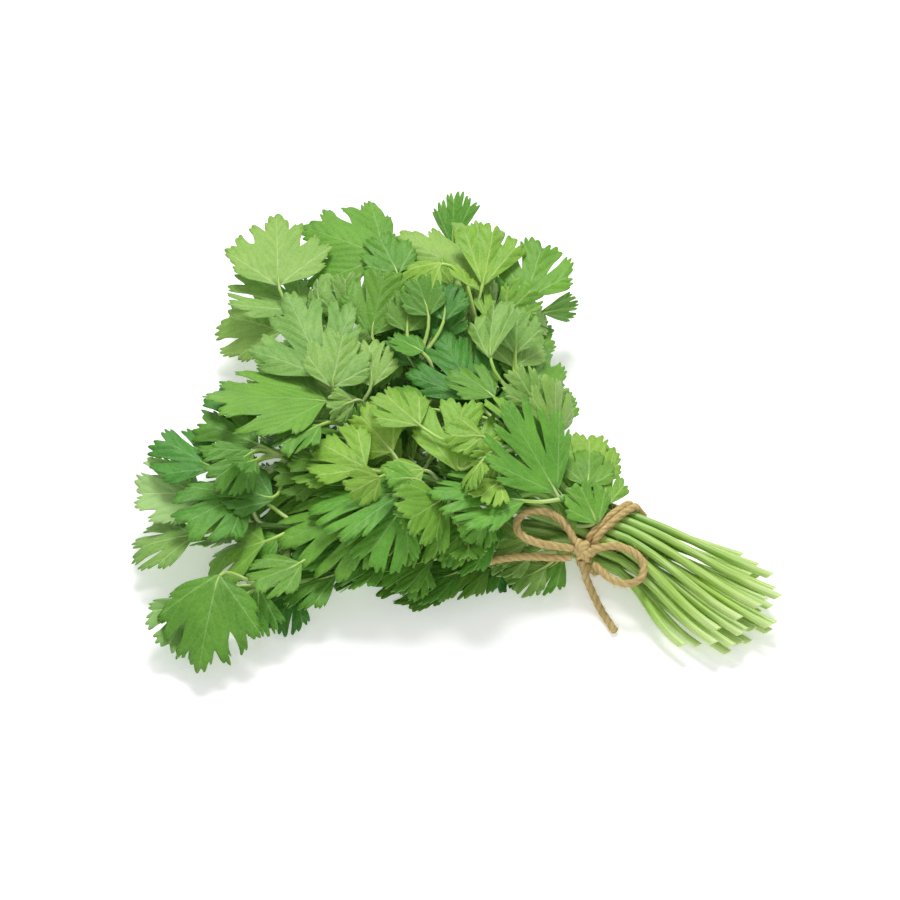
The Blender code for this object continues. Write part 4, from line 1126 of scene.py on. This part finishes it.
def lobe_edge(leaf, corners, left, right, span):
    """The radii of one lobe's edge at places p from -1 to 1 across it, with notches and rounded teeth."""
    teeth = corners[0::2]
    notches = corners[1::2]
    width = leaf["length"] * span / 3
    count = max(13, int(2 * width / EDGE_STEP) // 2 * 2 + 1)
    p = np.linspace(-1, 1, count)
    sides = np.linspace(SHOULDER, 1, 9)[:-1]
    p = np.unique(np.round(np.concatenate([p, sides, -sides]), 4))
    spots = [a for a, _ in teeth]
    envelope = np.interp(p, spots, [r for _, r in teeth])
    starts = [-0.97] + [a for a, _ in notches] + [0.97]
    for a, b in zip(starts, starts[1:]):
        inside = (p >= a) & (p <= b)
        q = (p - a) / (b - a)
        number = max(2, round((b - a) * width / TOOTH_WIDTH))
        q = q + 0.06 * np.sin(q * 5 + leaf["seed"])
        bump = 1 - np.abs((q * number) % 1.0 * 2 - 1) ** 1.9
        dome = 0.95 + 0.10 * (1 - (2 * q - 1) ** 2)
        depth = min(TOOTH_DEPTH / leaf["length"], 0.10) * (1 + 0.35 * np.sin(q * 7 + leaf["seed"]))
        envelope = np.where(inside, envelope * dome * (1 - depth * (1 - bump)), envelope)
    for (a, r) in notches:
        near = np.clip(1 - np.abs(p - a) / NOTCH_HALF, 0, 1) ** 2.0
        envelope = np.minimum(envelope, envelope - (envelope - r) * 0.82 * near)
    for side, low in ((-1, left), (1, right)):
        near = np.clip((side * p - SHOULDER) / (1 - SHOULDER), 0, 1) ** 2.2
        # a folded leaflet's lobes lie one on the other, so less of the slits shows
        envelope = envelope - (envelope - low) * near * (0.45 if leaf["kind"] == "narrow" else 1)
    return p, envelope


def fine_outline(leaf):
    """The whole edge: angles, radii, the angle of each point's lobe, and a number for the lobe."""
    edge = outline(leaf)
    span = half_span(leaf)
    per_lobe = (len(edge) - 4) // 3
    angles, radii, middles, lobes = [], [], [], []
    for k, lobe in enumerate((-1, 0, 1)):
        first = 1 + k * (per_lobe + 1)
        corners = [((a * 3 / span - 2 * lobe), r) for a, r in edge[first:first + per_lobe]]
        left, right = edge[first - 1][1], edge[first + per_lobe][1]
        p, r = lobe_edge(leaf, corners, left, right, span)
        keep = slice(0, None) if k == 0 else slice(1, None)
        angles.append((span * (2 * lobe + p) / 3)[keep])
        radii.append(r[keep])
        middles.append(np.full(len(p), span * 2 * lobe / 3)[keep])
        lobes.append(np.full(len(p), k)[keep])
    return [np.concatenate(found) for found in (angles, radii, middles, lobes)]


def fine_blade(leaf, tone):
    """A closed leaflet's points, faces, rib coordinates and tones, which mark its underside."""
    angles, radii, middles, lobes = fine_outline(leaf)
    draw = random.Random(leaf["seed"] + 7)
    length = leaf["length"]
    span = half_span(leaf)
    ripple_turn, ripple_size = draw.uniform(0, 6.3), draw.uniform(0.018, 0.040)
    curl = draw.uniform(-0.25, 0.12)
    slit = KINDS[leaf["kind"]]["slit"]
    # only a large leaflet's lobes have a waist to speak of
    pinch = LOBE_PINCH * min(max((length - 18) / 18, 0), 1)
    lifts = np.array([draw.uniform(-0.035, 0.05) for _ in range(3)])[lobes]
    base, turn = np.array(leaf["base"]), np.array(leaf["turn"])

    def surface(angle, radius):
        t = radius / length
        # a lobe has a waist where it leaves its neighbours, then widens and lies over one and under the other
        free = np.clip((t - slit) / (1 - slit), 0, 1)
        waist = np.sin(math.pi * np.minimum(free / 0.6, 1))
        off = angle - middles
        spread = middles + off * (1 - pinch * waist + LOBE_SPREAD * np.maximum(free - 0.5, 0) * 2)
        x, y = radius * np.cos(spread), radius * np.sin(spread)
        z = length * (leaf["cup"] * (y / length) ** 2 - leaf["droop"] * t * t
                      + np.cos(math.pi * 3 * angle / span) * leaf["pleat"] * t * t
                      + ripple_size * np.sin(9 * angle + ripple_turn) * t ** 3
                      + curl * np.maximum(t - 0.7, 0) ** 1.5
                      + SHINGLE * 3 * off / span * free + lifts * free ** 1.5)
        return base + np.stack([x, y, z], -1) @ turn.T

    shares = ROWS if length > SMALL_LEAFLET_OF else SMALL_ROWS
    rows = np.array(shares)[:, None]
    angle = np.broadcast_to(angles, (len(shares), len(angles)))
    radius = rows * radii
    middle = surface(angle, radius)
    out = surface(angle, radius * 1.01) - surface(angle, radius * 0.99)
    across = surface(angle + 0.01, radius) - surface(angle - 0.01, radius)
    normal = np.cross(out, across)
    normal /= np.linalg.norm(normal, axis=-1, keepdims=True)
    apex = base[None]
    apex_normal = normal[0].mean(0, keepdims=True)
    half = LEAF_THICKNESS / 2
    sheets = [np.concatenate([apex + side * half * apex_normal,
                              (middle + side * half * normal).reshape(-1, 3)]) for side in (1, -1)]
    points = np.concatenate(sheets)
    points[:, 2] = np.maximum(points[:, 2], np.where(np.arange(len(points)) < len(points) // 2, 0.45, 0.08))

    columns, below = len(angles), 1 + middle.shape[0] * middle.shape[1]
    at = 1 + np.arange(len(shares) * columns).reshape(len(shares), columns)
    top = [(0, int(a), int(b)) for a, b in zip(at[0], at[0][1:])]
    quads = np.stack([at[:-1, :-1], at[1:, :-1], at[1:, 1:], at[:-1, 1:]], -1).reshape(-1, 4)
    faces = top + [tuple(quad) for quad in quads.tolist()]
    faces += [tuple(i + below for i in reversed(face)) for face in faces]
    border = [0, *at[:, 0].tolist(), *at[-1, 1:].tolist(), *at[-2::-1, -1].tolist()]
    for a, b in zip(border, border[1:] + border[:1]):
        faces.append((b, a, a + below, b + below))
    asides = np.abs(angles - middles)
    rib = np.stack([radius * np.sin(asides), radius * np.cos(asides), np.zeros_like(radius)], -1)
    rib = np.concatenate([np.zeros((1, 3)), rib.reshape(-1, 3)] * 2)
    tones = np.zeros((len(points), 3))
    tones[:, 0] = tone
    tones[:, 2] = draw.random()
    tones[below:, 1] = 1
    return points, faces, rib, tones


# %% [markdown]
# ## Stems and stalks
# Stems and stalks are round, with about eight shallow grooves; here only the stems get them. Each one follows
# the line of its solid; the cut end is slanted, and its flesh shows as a slightly hollow face.

# %% Fine stems
STEM_RIDGES = 8
RIDGE_DEPTH = 0.07


# A cut end's hollow: its width as a share of the stem's, and its depth in radii.
HOLLOW_WIDTH = 0.45
HOLLOW_DEPTH = 0.35


def fine_tube(path, radii, sides, slant=0.0, deep=(0.0, 1.0), tone=0.5, ridges=STEM_RIDGES):
    """A grooved tube's points, faces, rib coordinates and tones, and how many faces come before its cut."""
    spots = np.array([tuple(point) for point in path])
    frames = ring_frames(path, False)
    turns = 2 * math.pi * np.arange(sides) / sides
    lengths = np.concatenate([[0], np.cumsum(np.linalg.norm(np.diff(spots, axis=0), axis=1))])
    points, rib, tones = [], [], []
    for i, (ahead, across, upright) in enumerate(frames):
        out = radii[i] * (1 - RIDGE_DEPTH * (1 - np.abs(np.cos(turns * ridges / 2))))
        ring = (spots[i] + np.outer(np.cos(turns) * out, across) + np.outer(np.sin(turns) * out, upright))
        if i == 0:
            ring += np.outer(slant * radii[0] * np.cos(turns), ahead)
        points.append(ring)
        share = lengths[i] / lengths[-1]
        rib.append(np.stack([turns * radii[i], np.full(sides, lengths[i]), np.zeros(sides)], -1))
        tones.append(np.tile([tone, deep[0] + (deep[1] - deep[0]) * share, 0.0], (sides, 1)))
    points, rib, tones = np.concatenate(points), np.concatenate(rib), np.concatenate(tones)
    faces = ring_faces(len(path), sides)
    faces.pop(-2)
    caps = len(faces)
    rim = points[:sides].copy()
    inner = rim * HOLLOW_WIDTH + rim.mean(0) * (1 - HOLLOW_WIDTH)
    inner = inner + np.array(frames[0][0]) * HOLLOW_DEPTH * radii[0]
    first = len(points)
    points = np.concatenate([points, rim, inner])
    rib = np.concatenate([rib, rib[:sides], rib[:sides]])
    rim_tone = np.tile([tone, 0.0, 0.0], (sides, 1))
    tones = np.concatenate([tones, rim_tone, rim_tone + np.array([0, 0, 1.0])])
    for k in range(sides):
        a, b = first + k, first + (k + 1) % sides
        faces.append((b, a, a + sides, b + sides))
    faces.append(tuple(reversed(range(first + sides, first + 2 * sides))))
    return points, faces, rib, tones, caps


class PieceParts:
    """Points, faces and attributes gathered into one mesh."""

    def __init__(self):
        self.points, self.ribs, self.tones, self.faces, self.looks = [], [], [], [], []
        self.total = 0

    def add(self, points, faces, rib, tones, looks):
        self.faces += [tuple(i + self.total for i in face) for face in faces]
        self.points.append(points)
        self.ribs.append(rib)
        self.tones.append(tones)
        self.looks += looks
        self.total += len(points)

    def build(self, name, materials):
        return build_mesh(name, np.concatenate(self.points), self.faces,
                          {"rib": np.concatenate(self.ribs), "tone": np.concatenate(self.tones)},
                          materials, self.looks)

# %% [markdown]
# ## The leafy stems
# Every sprig is built on its solid's line: the stem, then each leaflet with its stalk. Small leaflets
# fill the bunch between the large ones, as on real coriander, where each stem carries leaflets at several
# heights. They are tried at random places along the stems and kept where they are clear of everything
# else.

# %% Small leaflets
EXTRA_TRIES = 12000
EXTRA_MOST = 260
BOW_CLEARANCE = 34
EXTRA_SEED = 411
# What a small leaflet is given as room: its blade's thickness and how much longer it counts as.
PLACED_ROOM = (0.6, 0.3)
SMALL_ROOM = (0.5, 0.2)
STALK_GAP = 0.1
PLACED_NUMBER = 15000
SMALL_NUMBER = 20000
# No small leaflet grows nearer to the tie, starts lower, or hides the bow if it starts higher than this.
BEHIND_TIE = -14
LOWEST_BASE = 4
BOW_LOW = 16
ABOVE_ALL = 200

# More leaflets that show, given as in SPRIGS. Each grows from whichever stem is nearest.
PLACED = [
    (22, 13, 24, 66, 8, 8, 22, "broad"),
    (17, 112, 44, 66, 24, 10, 20, "broad"),
    (27, 78, 44, 66, 26, 8, 22, "cut"),
    (24, 104, 46, 62, 20, -10, 19, "cut"),
    (-77, 7, 27, 32, 12, 6, 20, "cut"),
    (-40, 11, 29, 14, 14, 6, 22, "broad"),
    (50, 4, 26, 57, 12, 0, 20, "cut"),
    (-52, 19, 11, -63, -8, 6, 20, "cut"),
    (-50, 10, 9, -90, -10, 0, 16, "broad"),
    (-19, 139, 22, 2, -4, 6, 24, "cut"),
    (-23, 145, 20, -40, -6, 0, 24, "broad"),
    (-25, 131, 22, -6, -4, -6, 24, "cut"),
    (-38, 121, 21, -56, 2, 8, 25, "cut"),
    (-39, 108, 15, -46, -2, 6, 25, "cut"),
    (-39, 124, 8, -88, -8, 0, 20, "cut"),
    (3, 108, 38, 56, 24, -8, 22, "cut"),
    (22, 83, 42, 60, 26, 8, 21, "broad"),
    (5, 121, 46, 74, 20, 8, 19, "cut"),
    (-37, 70, 20, -42, -4, 8, 25, "feather"),
    (-39, 87, 18, -44, -6, 8, 25, "cut"),
    (-43, 43, 16, -50, -6, 8, 22, "feather"),
    (22, 109, 46, 42, 24, -10, 19, "broad"),
    (58, 21, 24, 42, 10, 10, 20, "cut"),
]
STEMS_ASKED = 6
PLACED_STEPS = 160


def nearest_stems(sprigs, spot):
    """The stems nearest to a spot as (sprig, share of the way to its fork)."""
    found = []
    count = 4 * (STEM_RINGS_TO_LEAVES - 1)
    for index, sprig in enumerate(sprigs):
        path = sprig["path"][-STEM_RINGS_TO_LEAVES:]
        for k in range(count):
            step, part = divmod(k, 4)
            point = path[step].lerp(path[step + 1], part / 4)
            found.append(((point - spot).length, index, k / count))
    best = {}
    for distance, index, share in sorted(found):
        best.setdefault(index, share)
    return [(sprigs[index], share) for index, share in list(best.items())[:STEMS_ASKED]]


# A placed leaflet's stalk comes from behind and below its base.
STALK_BACK = Vector((6, 0, 2))


def place_leaflet(leaf, sprigs, taken, steps):
    """Moves a leaflet until it and its stalk are clear and adds it to a stem; returns whether it could."""
    for step in steps:
        aim_leaf(leaf, *step)
        shape = blade(leaf, *PLACED_ROOM)
        root = leaf["base"] - leaf["turn"] @ STALK_BACK
        for sprig, share in nearest_stems(sprigs, root):
            leaf["share"] = share
            if not is_clear(shape, taken, sprig["owner"]):
                break
            if is_clear(stalk_shape(sprig, leaf, 0, 0, STALK_GAP), taken, sprig["owner"]):
                grow(sprig, leaf, 0, blade(leaf), taken)
                return True
    return False


def add_placed(sprigs, taken):
    """Adds the leaflets of PLACED; returns how many found a place."""
    steps = moves()[:PLACED_STEPS]
    done = [place_leaflet(make_leaf(row, PLACED_NUMBER + number, 0.5), sprigs, taken, steps)
            for number, row in enumerate(PLACED)]
    print("without a place:", [number for number, placed in enumerate(done) if not placed])
    return sum(done)


def cover_of(sprigs):
    """The large leaflets as one tree, to ask whether one lies above or below a point."""
    points, faces, _ = gather((*blade(leaf), []) for sprig in sprigs for _, leaf in sprig["leaves"])
    return tree((points, faces))


# A small leaflet is drawn from these: its share of the way along a stem (nearer to the fork on a stem with
# less reach than EXTRA_SHORT), its turn from the stem and its stalk's turn from that, the stalk's rise and
# length, its own pitch, roll and length, and its kind.
EXTRA_SHORT = 50
EXTRA_SHARES = (0.35, 0.99)
EXTRA_SHARES_SHORT = (0.75, 0.99)
EXTRA_TURN = (-100, 100)
EXTRA_STALK_TURN = (-25, 25)
EXTRA_RISE = (-25, 50)
EXTRA_STALK = (7, 20)
EXTRA_PITCH = (-35, 40)
EXTRA_ROLL = (-50, 50)
EXTRA_LENGTH = (13, 28)
EXTRA_KINDS = ("cut", "broad", "feather")
# The points of its edge that have to lie above or below a large leaflet.
EDGE_ANGLES = (-0.5, 0, 0.5)
EDGE_SHARE = 0.8


def add_small_leaflets(sprigs, taken):
    """Adds small leaflets along the stems where they are clear and inside the bunch; returns how many."""
    draw = random.Random(EXTRA_SEED)
    cover, down, knot = cover_of(sprigs), Vector((0, 0, -1)), Vector(KNOT_AT[:2])
    low, high = [corner / MM for corner in size_before]
    last, added = STEM_RINGS_TO_LEAVES - 1, 0
    for number in range(EXTRA_TRIES):
        sprig = draw.choice(sprigs)
        share = draw.uniform(*(EXTRA_SHARES if sprig["reach"] > EXTRA_SHORT else EXTRA_SHARES_SHORT))
        step = min(int(share * last), last - 1)
        path = sprig["path"][-STEM_RINGS_TO_LEAVES:]
        start = path[step].lerp(path[step + 1], share * last - step)
        if start.x > BEHIND_TIE:
            continue
        heading = math.degrees(math.atan2(start.y, -start.x)) + draw.uniform(*EXTRA_TURN)
        way = along(heading + draw.uniform(*EXTRA_STALK_TURN), draw.uniform(*EXTRA_RISE))
        base = start + way * draw.uniform(*EXTRA_STALK)
        if base.z < LOWEST_BASE or (base.z > BOW_LOW and (base.xy - knot).length < BOW_CLEARANCE):
            continue
        row = (math.degrees(math.atan2(base.y, -base.x)), math.hypot(base.x, base.y), base.z, heading,
               draw.uniform(*EXTRA_PITCH), draw.uniform(*EXTRA_ROLL), draw.uniform(*EXTRA_LENGTH),
               draw.choice(EXTRA_KINDS))
        leaf = make_leaf(row, SMALL_NUMBER + number, share)
        aim_leaf(leaf)
        shape = blade(leaf, *SMALL_ROOM)
        inside = all(low[i] < point[i] < high[i] for point in shape[0] for i in range(3))
        edge = [blade_point(leaf, angle, leaf["length"] * EDGE_SHARE) for angle in EDGE_ANGLES]
        inside = inside and all(cover.ray_cast(Vector((*spot.xy, ABOVE_ALL)), down)[0] for spot in edge)
        if inside and is_clear(shape, taken, sprig["owner"]) and is_clear(
                stalk_shape(sprig, leaf, 0, 0, STALK_GAP), taken, sprig["owner"]):
            grow(sprig, leaf, 0, shape, taken)
            added += 1
        if added == EXTRA_MOST:
            break
    return added


print("leaflets placed:", add_placed(sprigs, taken), "of", len(PLACED))
print("small leaflets added:", add_small_leaflets(sprigs, taken))

# %% Build the leafy stems
def build_sprig(number, sprig):
    """One piece for a whole sprig, in the place of its solid."""
    draw = random.Random(SEED * 77 + number)
    parts = PieceParts()
    path = stem_path(sprig, *sprig["bend"], fine=5)
    girth = draw.uniform(0.80, 1.03)
    radii = [radius * girth for radius in stem_radii(path)]
    radii[-1] *= 0.35
    radii[-2] *= 0.8
    tone = draw.random()
    points, faces, rib, tones, caps = fine_tube(path, radii, 24, CUT_SLANT, (0.0, 1.0), tone)
    parts.add(points, faces, rib, tones, [1] * caps + [2] * (len(faces) - caps))
    for k, leaf in sprig["leaves"]:
        line = stalk_line(sprig, leaf, k, 0.0, fine=4)
        forward = leaf["turn"] @ Vector((1, 0, 0))
        line.append(leaf["base"] + forward * (BLADE_GRIP + 3.5))
        radii = list(np.linspace(STALK_RADIUS, STALK_TIP_RADIUS * 0.85, len(line) - 1)) + [0.12]
        radii[-2] = 0.4
        points, faces, rib, tones, caps = fine_tube(line, radii, 8, 0.0, (0.05, 0.30), tone, 0)
        parts.add(points, faces, rib, tones, [1] * len(faces))
        # A leaflet's tone: partly its own at random, partly painted shade that darkens it the lower its base
        # lies.
        shade = 0.55 * draw.random() + 0.45 * min(leaf["base"].z / 36, 1)
        points, faces, rib, tones = fine_blade(leaf, shade)
        parts.add(points, faces, rib, tones, [0] * len(faces))
    name = f"coriander_stem_{number:02d}"
    mesh = parts.build(name, [LEAF_LOOKS[sprig["colour"]], stem_look, cut_look])
    add_piece(name, mesh, [f"leafy_stem_{number:02d}"])
    return len(mesh.polygons)


total = sum(build_sprig(number, sprig) for number, sprig in enumerate(sprigs, 1))
print("faces in the leafy stems:", total)

# %% [markdown]
# ## Loose fibres
# Jute is hairy: short stiff fibres stand off the twine everywhere, on real twine more at the cut ends; here
# they are spread evenly.

# %% Fibres
FIBRE_RADIUS = 0.06
FIBRES_PER_MM = 3.4


def fibre(spot, ahead, outward, length, draw):
    """A thin bent fibre that leaves the twine at a spot."""
    bend = Vector([draw.uniform(-1, 1) for _ in range(3)]) * 0.35
    middle = spot + (ahead * 0.6 + outward * 0.7) * length * 0.5
    end = middle + (ahead * 0.5 + outward * 0.5 + bend) * length * 0.5
    return [spot, middle, end]


def fibre_shapes():
    """Fibres at random places on all the twine, as tubes with strand coordinates."""
    draw, shapes = random.Random(SEED * 3), []
    low, high = [corner / MM for corner in size_before]
    for path in [*cord_paths.values(), band_path(0.0), band_path(WRAP_TURN_GAP)]:
        frames = ring_frames(path, False)
        length = sum((b - a).length for a, b in zip(path, path[1:]))
        for _ in range(int(length * FIBRES_PER_MM)):
            i = draw.randrange(len(path))
            ahead, across, upright = frames[i]
            turn = draw.uniform(0, 2 * math.pi)
            outward = across * math.cos(turn) + upright * math.sin(turn)
            line = fibre(path[i] + outward * TWINE_RADIUS * 0.85, ahead * draw.choice((-1, 1)), outward,
                         draw.uniform(0.8, 3.2), draw)
            if min(point.z for point in line) > 0.1 and all(
                    low[k] < point[k] < high[k] for point in line for k in range(3)):
                points, faces = tube(line, [FIBRE_RADIUS, FIBRE_RADIUS, FIBRE_RADIUS * 0.4], 3)
                shapes.append((points, faces, [(0.5, draw.uniform(0, 50), 0.0)] * len(points)))
    return shapes


add_twine("twine_fibres", gather(fibre_shapes()))

# %% [markdown]
# ## Table and light
# The bunch lies on a white light table in soft studio light: one large lamp above and behind, a weaker
# one from the front, and a bright surround. The table glows a little, which keeps the shadows pale.

# %% Table
FLOOR_HALF = 3.0
TABLE_GLOW = 0.30
floor_mesh = bpy.data.meshes.new("table")
floor_mesh.from_pydata([(-FLOOR_HALF, -FLOOR_HALF, 0), (FLOOR_HALF, -FLOOR_HALF, 0),
                        (FLOOR_HALF, FLOOR_HALF, 0), (-FLOOR_HALF, FLOOR_HALF, 0)], [], [(0, 1, 2, 3)])
floor_mesh.materials.append(make_look("white light table", lambda add: {
    "Base Color": (0.92, 0.92, 0.92, 1), "Roughness": 0.9, "Specular IOR Level": 0.1,
    "Emission Color": (1, 1, 1, 1), "Emission Strength": TABLE_GLOW}))
floor = bpy.data.objects.new("table", floor_mesh)
floor.location.z = -0.0002
bpy.context.scene.collection.objects.link(floor)
floor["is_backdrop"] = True

# %% Light
def add_lamp(name, position, target, size, watts):
    lamp = bpy.data.lights.new(name, "AREA")
    lamp.shape = "DISK"
    lamp.size = size
    lamp.energy = watts
    made = bpy.data.objects.new(name, lamp)
    made.location = position
    made.rotation_mode = "QUATERNION"
    made.rotation_quaternion = (Vector(target) - Vector(position)).to_track_quat("-Z", "Y")
    bpy.context.scene.collection.objects.link(made)


add_lamp("large lamp above", (-0.40, 0.60, 1.20), (-0.06, 0, 0), 0.55, 14.5)
add_lamp("front fill", (0.6, -0.9, 0.8), (-0.06, 0, 0), 0.9, 3)
SURROUND = 0.51
world = bpy.data.worlds.new("bright surround")
world.use_nodes = True
surround = world.node_tree.nodes["Background"].inputs
surround["Color"].default_value = (1, 1, 1, 1)
surround["Strength"].default_value = SURROUND
bpy.context.scene.world = world
bpy.context.scene.view_settings.view_transform = "Standard"

# %% Sizes and finish
size_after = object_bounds()
for name, corners in (("solids", size_before), ("pieces", size_after)):
    print(name, [round(c * 1000, 1) for corner in corners for c in corner])
